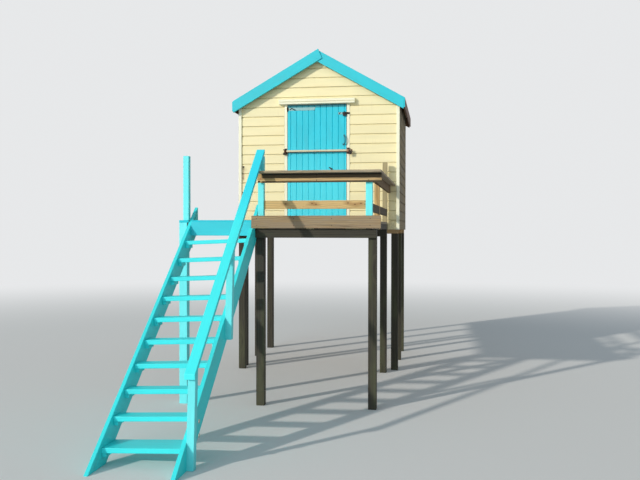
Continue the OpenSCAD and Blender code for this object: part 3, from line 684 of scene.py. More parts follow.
def own_axes(group, along):
    """Unit vectors along a solid's length, across its width and through its thickness."""
    edges = {e for v in group for e in v.link_edges}
    longest = max(edges, key=lambda e: (round(e.calc_length(), 5), -e.index))
    first = along or (longest.verts[1].co - longest.verts[0].co).normalized()
    faces = {f for v in group for f in v.link_faces if abs(f.normal.dot(first)) < 0.3}
    widest = max(faces, key=lambda f: (round(f.calc_area(), 6), -f.index))
    third = (widest.normal - first * widest.normal.dot(first)).normalized()
    return first, third.cross(first), third


def mark_grain(obj, along=None):
    """Marks each solid with its place along and across its grain, its half sizes and its lot."""
    rng = random.Random(obj.name)
    bm = bmesh.new()
    bm.from_mesh(obj.data)
    for items in (bm.verts, bm.edges, bm.faces):
        items.index_update()
    bm.normal_update()
    grain, half, lot = [bm.verts.layers.float_vector.new(name) for name in ("grain", "half", "lot")]
    for group in solids(bm):
        axes = own_axes(group, along)
        spans = [[v.co.dot(axis) for v in group] for axis in axes]
        middle = [(min(s) + max(s)) / 2 for s in spans]
        reach = [(max(s) - min(s)) / 2 for s in spans]
        draw = Vector((rng.random(), rng.random(), rng.random()))
        for vert in group:
            vert[grain] = [vert.co.dot(a) - m for a, m in zip(axes, middle)]
            vert[half] = reach
            vert[lot] = draw
    bm.to_mesh(obj.data)
    bm.free()
    return obj


def pour(whole, bm):
    """Adds one mesh to another and frees it."""
    part = bpy.data.meshes.new("part")
    bm.to_mesh(part)
    bm.free()
    whole.from_mesh(part)
    bpy.data.meshes.remove(part)


def shells(node):
    """The solids of a node as one mesh of whole flat faces."""
    bm, whole = bmesh.new(), bmesh.new()
    bm.from_mesh(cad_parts[node].data)
    bmesh.ops.remove_doubles(bm, verts=bm.verts, dist=MERGE)
    bmesh.ops.dissolve_limit(bm, angle_limit=math.radians(0.5), verts=bm.verts, edges=bm.edges)
    pour(whole, bm)
    return whole


def block(size, place):
    """A box of a size, centred on a place."""
    bm = bmesh.new()
    bmesh.ops.create_cube(bm, size=1.0, matrix=place @ Matrix.Diagonal((*size, 1)))
    return bm


def box_between(lo, hi):
    return block(Vector(hi) - Vector(lo), Matrix.Translation((Vector(hi) + Vector(lo)) / 2))


def ease(bm, arris, steps=2):
    """Rounds every sharp edge of a mesh."""
    sharp = [e for e in bm.edges if e.is_manifold and e.calc_face_angle(0) > math.radians(25)]
    bmesh.ops.bevel(bm, geom=sharp, offset=arris, offset_type="OFFSET", segments=steps, profile=0.5,
                    affect="EDGES", clamp_overlap=True)
    return bm


def trim(bm, point, normal):
    """Cuts off what lies beyond a plane and closes the cut."""
    everything = bm.verts[:] + bm.edges[:] + bm.faces[:]
    cut = bmesh.ops.bisect_plane(bm, geom=everything, dist=1e-6, plane_co=point, plane_no=normal,
                                 clear_outer=True)
    rim = [e for e in cut["geom_cut"] if isinstance(e, bmesh.types.BMEdge) and e.is_boundary]
    if rim:
        bmesh.ops.edgeloop_fill(bm, edges=rim)


def timber(name, finish, node, arris=None, body="hut", along=None, joint=None, rows=()):
    """Timbers of the frame with eased arrises, each with a grain of its own.

    A joint, given as a point and a normal, parts them with a fine gap. Rows are places along Y at which
    their faces are parted, so that an outline which touches itself becomes simple ones.
    """
    whole = bmesh.new()
    for side in (-1, 1) if joint else (0,):
        bm = shells(node)
        if joint:
            point, normal = joint
            trim(bm, point - normal * side * JOINT, normal * side)
        for y in rows:
            bmesh.ops.bisect_plane(bm, geom=bm.verts[:] + bm.edges[:] + bm.faces[:], dist=MERGE,
                                   plane_co=(0, y, 0), plane_no=Y)
        pour(whole, ease(bm, arris or sizes().arris))
    return put(mark_grain(add_mesh(name, whole), along), finish, body, (node,))


def extrude(outline, span, axes):
    """A straight board: a closed outline in the second and third axes, drawn out along the first."""
    first, second, third = axes
    bm = bmesh.new()
    rings = [[bm.verts.new(first * s + second * a + third * b) for a, b in outline] for s in span]
    for one, two in zip(rings, rings[1:]):
        for i in range(len(outline)):
            j = (i + 1) % len(outline)
            bm.faces.new((one[i], one[j], two[j], two[i]))
    bm.faces.new(rings[0][::-1])
    bm.faces.new(rings[-1])
    bmesh.ops.recalc_face_normals(bm, faces=bm.faces)
    return bm


def board_outline(width, thick, off=0.0015):
    """A plain board's section with its corners taken off."""
    return [(off, 0), (width - off, 0), (width, off), (width, thick - off), (width - off, thick),
            (off, thick), (0, thick - off), (0, off)]


def tree_for(name, result, **inputs):
    """An empty Geometry Nodes tree with named inputs; gives its nodes and its input wires."""
    if name in bpy.data.node_groups:
        bpy.data.node_groups.remove(bpy.data.node_groups[name])
    tree = bpy.data.node_groups.new(name, "GeometryNodeTree")
    for label, kind in inputs.items():
        tree.interface.new_socket(label, in_out="INPUT", socket_type="NodeSocket" + kind)
    tree.interface.new_socket(result, in_out="OUTPUT", socket_type="NodeSocketGeometry")
    nodes = Nodes(tree)
    entry = nodes.add("NodeGroupInput").socket.node
    return nodes, {label: Wire(nodes, entry.outputs[label]) for label in inputs}


def end_tree(nodes, points, shape, finish, **turned):
    """Sets a copy of a shape on each point, makes the copies real and gives them their finish."""
    copies = nodes.add("GeometryNodeInstanceOnPoints", sockets={
        "Points": points, "Instance": shape, **turned})
    real = nodes.add("GeometryNodeRealizeInstances", sockets={"Geometry": copies})
    dressed = nodes.add("GeometryNodeSetMaterial", sockets={"Geometry": real, "Material": finish})
    nodes.add("NodeGroupOutput", sockets={0: dressed})
    return nodes.tree


def row_tree():
    """Copies of one board in a straight row."""
    nodes, given = tree_for("board_row", "Boards", Board="Geometry", Count="Int", Step="Vector",
                            Finish="Material")
    line = nodes.add("GeometryNodeMeshLine", sockets={"Count": given["Count"], "Offset": given["Step"]})
    return end_tree(nodes, line, given["Board"], given["Finish"])


def head_tree(washer):
    """A domed head on each point, turned to face the way that the point is marked."""
    nodes, given = tree_for("washered_heads" if washer else "domed_heads", "Heads", Spots="Geometry",
                            Radius="Float", Rise="Float", Finish="Material")
    radius = given["Radius"]
    ball = nodes.add("GeometryNodeMeshUVSphere", sockets={"Segments": 10, "Rings": 6, "Radius": radius})
    way = nodes.add("GeometryNodeInputNamedAttribute", {"data_type": "FLOAT_VECTOR"}, {"Name": "facing"})
    turn = nodes.add("FunctionNodeAlignRotationToVector", {"axis": "Z"}, {"Vector": way})
    scale = nodes.add("ShaderNodeCombineXYZ", sockets={0: 1.0, 1: 1.0, 2: given["Rise"]})
    head = nodes.add("GeometryNodeTransform", sockets={"Geometry": ball, "Scale": scale})
    if washer:
        disc = nodes.add("GeometryNodeMeshCylinder", sockets={
            "Vertices": 16, "Radius": radius * 1.6, "Depth": radius * 0.3})
        joined = nodes.tree.nodes.new("GeometryNodeJoinGeometry")
        for part in (head, disc):
            nodes.tree.links.new(part.socket, joined.inputs[0])
        head = Wire(nodes, joined.outputs[0])
    return end_tree(nodes, given["Spots"], head, given["Finish"], Rotation=turn)


def grow(obj, tree, **given):
    """Runs a Geometry Nodes tree on an object with the named inputs and keeps the result as its mesh."""
    modifier = obj.modifiers.new(tree.name, "NODES")
    modifier.node_group = tree
    for item in tree.interface.items_tree:
        if item.in_out == "INPUT" and item.name in given:
            modifier[item.identifier] = given[item.name]
    return settle(obj)


def cut_by(obj, bm, operation):
    """Cuts a solid out of an object, or leaves only what lies inside it."""
    cutter = add_mesh("cutter", bm)
    modifier = obj.modifiers.new("cut", "BOOLEAN")
    modifier.operation = operation
    modifier.solver = "EXACT"
    modifier.object = cutter
    settle(obj)
    bpy.data.objects.remove(cutter)


def lay_boards(name, board, along, count, step, finish, nodes, cuts=(), place=Matrix(), body="hut",
               cutter=None, operation="DIFFERENCE"):
    """A straight row of equal boards in place of some nodes, trimmed by planes and cut by a solid."""
    obj = grow(add_mesh(name, board), row_tree(), Count=count, Step=tuple(step), Finish=FINISHES[finish])
    bm = bmesh.new()
    bm.from_mesh(obj.data)
    bm.transform(place)
    for point, normal in cuts:
        trim(bm, point, normal)
    bm.to_mesh(obj.data)
    bm.free()
    if cutter:
        cut_by(obj, cutter, operation)
    put(mark_grain(obj, along), finish, body, nodes)


def heads(name, spots, radius, rise, finish, body="hut", washer=False):
    """Nail, screw or bolt heads at some places, each given with the way that it faces."""
    mesh = bpy.data.meshes.new(name)
    mesh.from_pydata([place for place, _ in spots], [], [])
    facing = mesh.attributes.new("facing", "FLOAT_VECTOR", "POINT")
    for item, (_, way) in zip(facing.data, spots):
        item.vector = way
    obj = grow(add_object(name, mesh), head_tree(washer), Radius=radius, Rise=rise, Finish=FINISHES[finish])
    return put(obj, finish, body)


def rod(name, points, radius, finish, body="hut"):
    """A round bar bent through some points."""
    curve = bpy.data.curves.new(name, "CURVE")
    curve.dimensions = "3D"
    curve.bevel_depth = radius
    curve.bevel_resolution = 4
    curve.resolution_u = 8
    curve.use_fill_caps = True
    spline = curve.splines.new("BEZIER")
    spline.bezier_points.add(len(points) - 1)
    for spot, point in zip(spline.bezier_points, points):
        spot.co = point
        spot.handle_left_type = spot.handle_right_type = "AUTO"
    bent = add_object(name, curve)
    bm = bmesh.new()
    bm.from_mesh(final_mesh(bent))
    bpy.data.objects.remove(bent)
    bmesh.ops.remove_doubles(bm, verts=bm.verts, dist=1e-6)
    for face in bm.faces:
        face.smooth = len(face.verts) == 4
    return put(add_mesh(name, bm), finish, body)


def lump(name, lo, hi, round_by, finish, body="hut", steps=3):
    """A small rounded block."""
    return put(add_mesh(name, ease(box_between(lo, hi), round_by, steps)), finish, body)


def wall_section(s):
    """A wall board's section: its thickness outwards and its height, with a hollow along the top."""
    gap, arris, steps = 0.0008, 0.0015, 5
    hollow = []
    for i in range(steps + 1):
        turn = math.pi / 2 * i / steps
        hollow.append((WALL_T - s.cove_d * math.sin(turn),
                       s.wall_board - s.cove_h + s.cove_h * 0.7 * (1 - math.cos(turn))))
    return [(0, 0), (WALL_T - arris, 0), (WALL_T, arris), *hollow,
            (WALL_T - s.cove_d, s.wall_board - gap), (0, s.wall_board - gap)]


def clad(name, out, nodes, finish, lo, hi, opening=None):
    """Boards a wall on its outer side, cut off at the wall's ends, under the roof and at an opening."""
    s = sizes()
    along = Vector((abs(out.y), abs(out.x), 0))
    back = max(lo.dot(out), hi.dot(out)) - WALL_T
    first = math.floor((lo.z - DECK - s.wall_line) / s.wall_board)
    count = math.ceil((hi.z - DECK - s.wall_line) / s.wall_board) - first
    start = DECK + s.wall_line + first * s.wall_board
    section = [(back + a, start + b) for a, b in wall_section(s)]
    board = extrude(section, [lo.dot(along) - SLACK, hi.dot(along) + SLACK], (along, out, Z))
    cuts = [(lo, -along), (hi, along), (lo, -Z)]
    cuts += [((0, 0, APEX), (side * math.sin(PITCH), 0, math.cos(PITCH))) for side in (-1, 1)]
    lay_boards(name, board, along, count, Z * s.wall_board, finish, nodes, cuts, cutter=opening)


def clad_front():
    lo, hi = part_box("front_wall_left")[0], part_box("front_wall_right")[1].copy()
    hi.z = APEX
    frame_lo, frame_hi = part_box("door_frame")
    gap = 0.003
    opening = box_between((frame_lo.x - gap, FRONT - SLACK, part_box("door_sill")[0].z),
                          (frame_hi.x + gap, FRONT + 2 * WALL_T, frame_hi.z + gap))
    nodes = ("front_wall_left", "front_wall_right", "front_gable")
    clad("front_boards", -Y, nodes, "cream", lo, hi, opening)


def wall_nails():
    """Nails in each front board where it crosses a stud."""
    s = sizes()
    lo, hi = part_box("front_wall_left")[0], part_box("front_wall_right")[1]
    frame_lo, frame_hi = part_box("door_frame")
    edge, nail_line = 0.075, 0.22
    columns = [lo.x + edge, (lo.x + frame_lo.x) / 2, frame_lo.x - edge / 3,
               frame_hi.x + edge / 3, (hi.x + frame_hi.x) / 2, hi.x - edge]
    spots = []
    for row in range(int((APEX - DECK) / s.wall_board)):
        z = DECK + s.wall_line + row * s.wall_board + s.wall_board * nail_line
        spots += [((x, FRONT, z), -Y) for x in columns if z < APEX - abs(x) * SLOPE - 2 * edge]
    heads("wall_nails", spots, s.nail, 0.22, "cream")


class HUT_OT_mix(bpy.types.Operator):
    """Mixes the paints, timbers and metals"""

    bl_idname = "hut.mix"
    bl_label = "Mix the finishes"

    def execute(self, context):
        mix_finishes()
        return {"FINISHED"}


class HUT_OT_walls(bpy.types.Operator):
    """Boards the four walls and fits their corner boards"""

    bl_idname = "hut.walls"
    bl_label = "Board the walls"

    def execute(self, context):
        clad_front()
        for name, node, out in (("left_wall_boards", "left_wall", -X), ("right_wall_boards", "right_wall", X),
                                ("back_boards", "back_wall", Y)):
            clad(name, out, (node,), "side", *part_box(node))
        wall_nails()
        timber("corner_trim", "trim", "corner_boards")
        timber("studs", "bare", "wall_studs")
        return {"FINISHED"}


def slope_frame(side):
    """The place at the ridge from which one roof slope runs down, with x down the slope and z out of it."""
    down = Vector((side * math.cos(PITCH), 0, -math.sin(PITCH)))
    up = Vector((side * math.sin(PITCH), 0, math.cos(PITCH)))
    turn = Matrix((down, up.cross(down), up)).transposed().to_4x4()
    return Matrix.Translation((0, 0, APEX)) @ turn


def on_slope(side, run, up):
    """The X and Z of a spot some way down a slope and above the underside of its boards."""
    spot = slope_frame(side) @ Vector((run, 0, up))
    return spot.x, spot.z


def slope_run(node):
    lo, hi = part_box(node)
    return max(abs(lo.x), abs(hi.x)) / math.cos(PITCH)


def roof_boards(node, side):
    """The boards that carry the felt on one slope."""
    s = sizes()
    lo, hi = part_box(node)
    run, half, gap = slope_run(node), (hi.y - lo.y) / 2, 0.001
    board = extrude(board_outline(s.roof_board - gap, ROOF_T - LAYERS * s.felt_t), [-half, half], (Y, X, Z))
    count = math.ceil(run / s.roof_board) + 1
    cuts = [((side * run * math.cos(PITCH), 0, 0), X * side), ((0, 0, 0), -X * side)]
    place = Matrix.Translation((0, (lo.y + hi.y) / 2, 0)) @ slope_frame(side)
    lay_boards(node + "_boards", board, Y, count, X * s.roof_board, "bare", (node,), cuts, place)


def felt_strip(name, outline, y0, y1):
    """One strip of felt, its section in X and Z, lying a little unevenly."""
    pieces, sag = 36, 0.0009
    bm = extrude(outline, [y0 + (y1 - y0) * i / pieces for i in range(pieces + 1)], (Y, X, Z))
    for vert in bm.verts:
        vert.co.z -= sag * abs(noise.noise(vert.co * 3.1))
    put(add_mesh(name, bm), "felt")


def felt_section(side, start, end, low, lap_from, lap_up, thick):
    """A strip's section down one slope, which steps up where it laps over the strip below."""
    high, ramp, nose = low + lap_up, 0.010, 0.003
    spots = [(start, low), (lap_from - ramp, low), (lap_from, high), (end, high), (end, high + thick),
             (lap_from - nose, high + thick), (lap_from - nose - ramp, low + thick), (start, low + thick)]
    return [on_slope(side, run, up) for run, up in spots]


def felt_roof():
    """Two strips of felt on each slope and a cap over the ridge, with their nails."""
    s = sizes()
    base = ROOF_T - LAYERS * s.felt_t
    seam, reach, edge, inset, step = 0.42, 0.150, 0.020, 0.025, 0.075
    tuck, seat, sunk = 0.0008, 0.0002, 0.001
    spots = []
    for side, node in ((-1, "roof_left"), (1, "roof_right")):
        lo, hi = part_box(node)
        run = slope_run(node)
        y0, y1 = lo.y + 0.001, hi.y - 0.001
        lap = run * seam
        low = base + seat
        strip = felt_section(side, lap - s.felt_lap, run - tuck, low, run - edge, 0, s.felt_t - 0.0003)
        felt_strip(f"felt_low_{side + 1}", strip, y0, y1)
        strip = felt_section(side, edge, lap, low, lap - s.felt_lap, s.felt_t, s.felt_t - 0.0004)
        felt_strip(f"felt_high_{side + 1}", strip, y0, y1)
        way = slope_frame(side).to_3x3() @ Z
        for down, layers in ((lap - inset, 2), (run - 0.03, 1), (reach - inset, 3)):
            x, z = on_slope(side, down, base + layers * s.felt_t - sunk)
            spots += [((x, y0 + step / 2 + i * step, z), way) for i in range(int((y1 - y0) / step))]
    low = base + 2 * s.felt_t
    high = low + s.felt_t - 0.0015
    cap = [on_slope(side, reach, up) for side, up in ((-1, low), (1, low), (1, high), (-1, high))]
    ridge = [(0, APEX + up / math.cos(PITCH)) for up in (low, high)]
    felt_strip("felt_ridge", [cap[0], ridge[0], cap[1], cap[2], ridge[1], cap[3]], y0, y1)
    heads("felt_nails", spots, 0.005, 0.25, "zinc")


class HUT_OT_roof(bpy.types.Operator):
    """Boards and felts the roof and fits its bargeboards and eave boards"""

    bl_idname = "hut.roof"
    bl_label = "Cover the roof"

    def execute(self, context):
        roof_boards("roof_left", -1)
        roof_boards("roof_right", 1)
        felt_roof()
        timber("purlins", "bare", "roof_purlins")
        for node in ("bargeboard_left", "bargeboard_right"):
            timber(node + "_painted", "turquoise", node)
        timber("back_bargeboards", "brown", "bargeboards_back", joint=(Vector(), X))
        timber("eave_boards", "brown", "eave_fascias")
        return {"FINISHED"}


def door_boards():
    """Upright boards of the door, with a groove along every joint."""
    s = sizes()
    lo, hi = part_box("door_leaf")
    thick, gap, g = hi.y - lo.y, 0.0005, s.groove
    wide = s.door_board - gap
    section = [(0, 0), (wide, 0), (wide, thick - g), (wide - g, thick), (g, thick), (0, thick - g)]
    start = lo.x + s.door_first - s.door_board
    board = extrude([(start + a, b - hi.y) for a, b in section], [lo.z, hi.z], (Z, X, -Y))
    count = math.ceil((hi.x - start) / s.door_board)
    lay_boards("door_boards", board, Z, count, X * s.door_board, "door", ("door_leaf",),
               [(lo, -X), (hi, X)], body="door")


def door_nails():
    """Nails through the door boards into the ledges behind them."""
    s = sizes()
    lo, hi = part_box("door_leaf")
    low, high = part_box("door_ledges")
    start = lo.x + s.door_first + s.door_board / 2
    count = int((hi.x - start) / s.door_board)
    aside, above, inset = 0.018, 0.02, 0.05
    heights = (low.z + inset, (low.z + high.z) / 2, high.z - inset)
    spots = [((start + i * s.door_board + side * aside, lo.y, z + side * above), -Y)
             for z in heights for i in range(count) for side in (-1, 1)]
    heads("door_nails", spots, s.nail, 0.25, "door", "door")


def drip_canopy():
    """The canopy over the door: a sloping top board over a lip, with a groove between the two."""
    lo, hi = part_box("door_canopy")
    fall, groove, deep = 0.016, 0.009, 0.016
    middle = lo.z + 0.026
    outline = [(hi.y, lo.z), (hi.y, hi.z), (lo.y, hi.z - fall), (lo.y, middle + groove),
               (lo.y + deep, middle + groove), (lo.y + deep, middle), (lo.y, middle), (lo.y, lo.z)]
    bm = ease(extrude(outline, [lo.x, hi.x], (X, Y, Z)), 0.0015)
    put(mark_grain(add_mesh("drip_canopy", bm), X), "trim", instead=("door_canopy",))


class HUT_OT_door(bpy.types.Operator):
    """Makes the boarded door, its frame, its sill and the canopy over it"""

    bl_idname = "hut.door"
    bl_label = "Make the door"

    def execute(self, context):
        door_boards()
        door_nails()
        timber("ledges_and_braces", "bare", "door_ledges", body="door")
        timber("door_jambs", "trim", "door_frame")
        timber("door_step", "trim", "door_sill")
        drip_canopy()
        return {"FINISHED"}


def padlock(name, at, body, wide, tall):
    """A padlock that hangs with its shackle's top at a place."""
    deep, corner, wire, neck, sunk = 0.018, 0.004, 0.0038, 0.010, 0.004
    top, bow = at.z - 0.022, wide * 0.30
    lump(name, (at.x - wide / 2, at.y - deep / 2, top - tall), (at.x + wide / 2, at.y + deep / 2, top),
         corner, "iron", body)
    turns = [math.pi * i / 6 for i in range(7)]
    bend = [(-bow * math.cos(turn), neck + bow * math.sin(turn)) for turn in turns]
    arc = [(-bow, -sunk), *bend, (bow, -sunk)]
    rod(name + "_shackle", [Vector((at.x + x, at.y, top + z)) for x, z in arc], wire, "iron", body)


def strap_hinges():
    """Galvanised straps with slanted ends on dark barrels, and their bolts."""
    lo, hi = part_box("door_straps")
    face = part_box("door_leaf")[0].y
    thick, half, slant, middle = 0.004, 0.022, 0.020, 0.025
    root, tip = lo.x + 0.0285, hi.x + 0.0135
    barrels = shells("door_straps")
    trim(barrels, (root, 0, 0), X)
    put(add_mesh("strap_barrels", ease(barrels, 0.0006, 1)), "rusty", "door", ("door_straps",))
    plates = bmesh.new()
    spots = []
    for z in (lo.z + middle, hi.z - middle):
        outline = [(root, z - half), (tip - slant, z - half), (tip, z + half), (root, z + half)]
        pour(plates, ease(extrude(outline, [face - thick, face], (Y, X, Z)), 0.0008, 1))
        spots += [((root + step, face - thick, z), -Y) for step in (0.16, 0.26, 0.36)]
    put(add_mesh("strap_plates", plates), "strap", "door")
    heads("strap_bolts", spots, 0.0060, 0.4, "strap", "door")


def pull_handle(leaf, face):
    """The bow handle on the door, with its two feet."""
    low, high, half = DECK + LOCK_UP + 0.350, DECK + LOCK_UP + 0.480, 0.013
    bow = [(-0.042, 0.002, low), (-0.022, 0.024, low + 0.008), (-0.010, 0.036, (low + high) / 2),
           (-0.020, 0.024, high - 0.012), (-0.032, 0.002, high)]
    # the handle and its feet wear the dark paint that stands in for their shadow
    handle = rod("pull_handle", [Vector((leaf.x + x, face - out, z)) for x, out, z in bow], 0.007, "shadow_teal",
                 "door")
    for name, x, z, wide in (("pull_foot_low", -0.042, low, 0.013), ("pull_foot_high", -0.032, high, 0.009)):
        lump(name, (leaf.x + x - wide, face - 0.003, z - half), (leaf.x + x + wide, face, z + half), 0.002,
             "shadow_teal", "door")
    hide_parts("door_furniture")


def hasp(leaf, face):
    """The hasp: a galvanised plate with its bolt, a rusty arm over the jamb, a staple and a padlock."""
    z, plate, arm, arris = DECK + HASP_UP, 0.017, 0.014, 0.0012
    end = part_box("door_furniture")[1].x + 0.007
    lump("hasp_plate", (leaf.x - 0.118, face - 0.0043, z - plate), (leaf.x - 0.052, face - 0.0008, z + plate),
         arris, "hasp", "door", 2)
    heads("hasp_bolt", [((leaf.x - 0.099, face - 0.004, z), -Y)], 0.011, 0.5, "iron", "door")
    lump("hasp_arm", (leaf.x - 0.058, face - 0.0085, z - arm), (end, face - 0.0045, z + arm), arris,
         "rusty", "door", 2)
    lock_x = leaf.x - 0.027
    staple = ((-0.010, 0.003), (-0.010, 0.020), (0.010, 0.020), (0.010, 0.003))
    rod("hasp_staple", [Vector((lock_x + x, face - out, z + 0.002)) for x, out in staple], 0.003, "iron",
        "door")
    padlock("hasp_padlock", Vector((lock_x, face - 0.0185, z + 0.022)), "door", wide=0.042, tall=0.042)


def rim_lock(leaf, face):
    """The round lock let into the door and painted over, with its slanting thumb lever."""
    at = Vector((leaf.x - 0.230, face, DECK + LOCK_UP))
    bm = bmesh.new()
    proud, arris, lever, slant = 0.011, 0.0015, (0.054, 0.008, 0.017), math.radians(33)
    bmesh.ops.create_cone(bm, cap_ends=True, segments=40, radius1=0.020, radius2=0.018, depth=proud)
    ease(bm, arris)
    bm.transform(Matrix.Translation(at - Y * proud / 2) @ Matrix.Rotation(math.pi / 2, 4, "X"))
    put(add_mesh("rim_lock", bm), "door", "door")
    place = Matrix.Translation(at - Y * 0.0145) @ Matrix.Rotation(slant, 4, "Y")
    put(add_mesh("rim_lock_lever", ease(block(lever, place), arris)), "iron", "door")


def bar_lock():
    """The padlock in front of the locking bar's free end and the bracket round its pin."""
    lo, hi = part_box("locking_bar")
    left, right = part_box("jamb_fittings")
    z = (lo.z + hi.z) / 2
    play, hang = 0.0005, Vector((right.x - 0.003, lo.y - 0.013, z + 0.020))
    padlock("bar_padlock", hang, "bar", wide=0.050, tall=0.056)
    ends = {"bracket_low": (lo.z - 0.032, lo.z - play), "bracket_top": (hi.z + play, hi.z + 0.012)}
    for name, (low, high) in ends.items():
        lump(name, (left.x - 0.012, lo.y - 0.004, low), (left.x + 0.030, FRONT, high), 0.003, "rusty")


def wall_hook():
    """The hook that stands out of the wall left of the door."""
    hook = Vector((HOOK_X, FRONT, DECK + HOOK_UP))
    bends = ((0, 0.004, 0), (0, -0.020, 0), (0.010, -0.034, -0.010), (0.016, -0.034, -0.026),
             (0.004, -0.034, -0.034), (-0.010, -0.034, -0.022))
    rod("wall_hook", [hook + Vector(bend) for bend in bends], 0.0035, "iron")
    lump("hook_plate", hook + Vector((-0.014, -0.003, -0.014)), hook + Vector((0.014, 0.001, 0.014)), 0.002,
         "iron")


class HUT_OT_ironwork(bpy.types.Operator):
    """Fits the strap hinges, the hasp, the handle, the locks and the hook"""

    bl_idname = "hut.ironwork"
    bl_label = "Fit the ironwork"

    def execute(self, context):
        leaf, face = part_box("door_leaf")[1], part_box("door_leaf")[0].y
        strap_hinges()
        pull_handle(leaf, face)
        hasp(leaf, face)
        rim_lock(leaf, face)
        bar_lock()
        wall_hook()
        return {"FINISHED"}


def deck_planks():
    """Deck boards across the deck, cut round the posts and the strings, with their screws."""
    s = sizes()
    lo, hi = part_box("deck_boards")
    pitch = s.deck_board + s.deck_gap
    section = [(lo.y + a, lo.z + b) for a, b in board_outline(s.deck_board, hi.z - lo.z, 0.003)]
    board = extrude(section, [lo.x - SLACK, hi.x + SLACK], (X, Y, Z))
    plan = shells("deck_boards")
    middle = Vector((0, 0, (lo.z + hi.z) / 2))
    bmesh.ops.scale(plan, vec=(1, 1, 3), space=Matrix.Translation(-middle), verts=plan.verts)
    count = math.ceil((hi.y - lo.y) / pitch)
    lay_boards("deck_planks", board, X, count, Y * pitch, "deck", ("deck_boards",), cutter=plan,
               operation="INTERSECT")
    edge = 0.03
    joists = (lo.x + 0.30, lo.x + 0.65, -0.22, 0.35, hi.x - edge)
    spots = [((joist, lo.y + i * pitch + side, hi.z), Z) for joist in joists
             for i in range(1, int((hi.y - lo.y) / pitch)) for side in (edge, s.deck_board - edge)]
    heads("deck_screws", spots, 0.0045, 0.2, "zinc")


def floor_planks():
    """Floor boards inside the hut."""
    pitch = sizes().deck_board
    lo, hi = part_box("hut_floor")
    gap, off = 0.001, 0.001
    section = [(lo.y + a, lo.z + b) for a, b in board_outline(pitch - gap, hi.z - lo.z, off)]
    board = extrude(section, [lo.x, hi.x], (X, Y, Z))
    count = math.ceil((hi.y - lo.y) / pitch)
    lay_boards("floor_planks", board, X, count, Y * pitch, "bare", ("hut_floor",), [(hi, Y)])


class HUT_OT_deck(bpy.types.Operator):
    """Lays the deck and its frame, the fascia and the legs"""

    bl_idname = "hut.deck"
    bl_label = "Lay the deck"

    def execute(self, context):
        deck_planks()
        floor_planks()
        timber("deck_frame", "old", "deck_joists")
        timber("deck_bearers", "old", "deck_beams")
        timber("deck_feet", "old", "deck_legs", arris=0.005)
        timber("hut_feet", "old", "hut_legs", arris=0.005)
        timber("bearers", "bare", "floor_bearers")
        timber("joists", "bare", "floor_joists")
        timber("front_fascia", "fascia", "deck_fascia", arris=0.004)
        timber("landing", "turquoise", "landing_board")
        return {"FINISHED"}


class HUT_OT_rails(bpy.types.Operator):
    """Makes the rail posts, the rails and their caps"""

    bl_idname = "hut.rails"
    bl_label = "Make the rails"

    def execute(self, context):
        timber("caps", "cap", "rail_caps", arris=0.004)
        timber("top_boards", "top", "rail_boards", arris=0.004)
        timber("middle_rails", "mid", "mid_rails", arris=0.004)
        timber("painted_post", "post", "rail_post_front")
        timber("side_posts", "side_post", "rail_posts_back", arris=0.004)
        return {"FINISHED"}


def bolt_rows():
    """Bolts and nails through the rails, the newels and the fascia."""
    s = sizes()
    board, post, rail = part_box("rail_boards")[0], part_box("rail_post_front"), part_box("mid_rails")
    nail, flat, domed = 0.0055, 0.3, 0.4
    spots = [((board.x + 0.021, board.y, board.z + 0.012), -Y)]
    heads("rail_bolt", spots, s.bolt * 0.75, domed, "rusty", washer=True)
    middle = (post[0].x + post[1].x) / 2
    pairs = ((middle, 0.022), (middle, 0.075), (0.40, 0.025), (0.40, 0.080))
    heads("rail_nails", [((x, board.y, board.z + up), -Y) for x, up in pairs], nail, flat, "iron")
    spots = [((post[0].x - 0.010, rail[0].y, rail[1].z - down), -Y) for down in (0.014, 0.044)]
    heads("middle_rail_nails", spots, nail, flat, "iron")
    lo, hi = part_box("newels")
    spots = [((hi.x, lo.y + 0.034, up), X) for up in (0.30, 0.42)]
    heads("newel_bolts", spots, s.bolt, domed, "zinc", washer=True)
    lo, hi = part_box("deck_fascia")
    spots = [((lo.x + 0.06 + i * (hi.x - lo.x - 0.18) / 3, lo.y, z), -Y)
             for i in range(4) for z in (lo.z + 0.035, hi.z - 0.035)]
    heads("fascia_nails", spots, 0.005, flat, "iron")


def stair_screws():
    """Screws, painted over: through the strings into each tread, and down through all but the lowest."""
    lo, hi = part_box("stair_treads")
    left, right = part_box("string_left")[0].x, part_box("string_right")[1].x
    fronts = [hi.y - TREAD_D - i * GOING for i in range(TREADS)]
    tops = [hi.z - i * RISE for i in range(TREADS)]
    spots = [((x, front + step, top - drop), way) for x, way, drop in ((left, -X, 0.052), (right, X, 0.022))
             for front, top in zip(fronts, tops) for step in (0.04, 0.12)]
    heads("string_screws", spots, 0.005, 0.3, "aqua")
    ends = ((lo.x + 0.02, 0.029), (hi.x - 0.02, 0.001))
    spots = [((x, front + step, top - drop), Z) for front, top in list(zip(fronts, tops))[:-1]
             for x, drop in ends for step in (0.045, 0.12)]
    heads("tread_screws", spots, 0.0045, 0.25, "aqua")


def rail_joint():
    """The place over the middle newel where the handrail's two lengths meet, and the handrail's slope."""
    lo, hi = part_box("handrail")
    bm = shells("handrail")
    longest = max(bm.edges, key=lambda e: e.calc_length())
    way = (longest.verts[1].co - longest.verts[0].co).normalized()
    bm.free()
    height = lo.z + (HAND_JOINT - lo.y) / (hi.y - lo.y) * (hi.z - lo.z)
    return Vector((0, HAND_JOINT, height)), way if way.z > 0 else -way


def housing_rows():
    """Where the newels' housings in the right string begin and end."""
    lo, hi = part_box("string_right")
    bm = shells("string_right")
    rows = sorted({round(v.co.y, 5) for v in bm.verts if lo.x + MERGE < v.co.x < hi.x - MERGE})
    bm.free()
    return rows


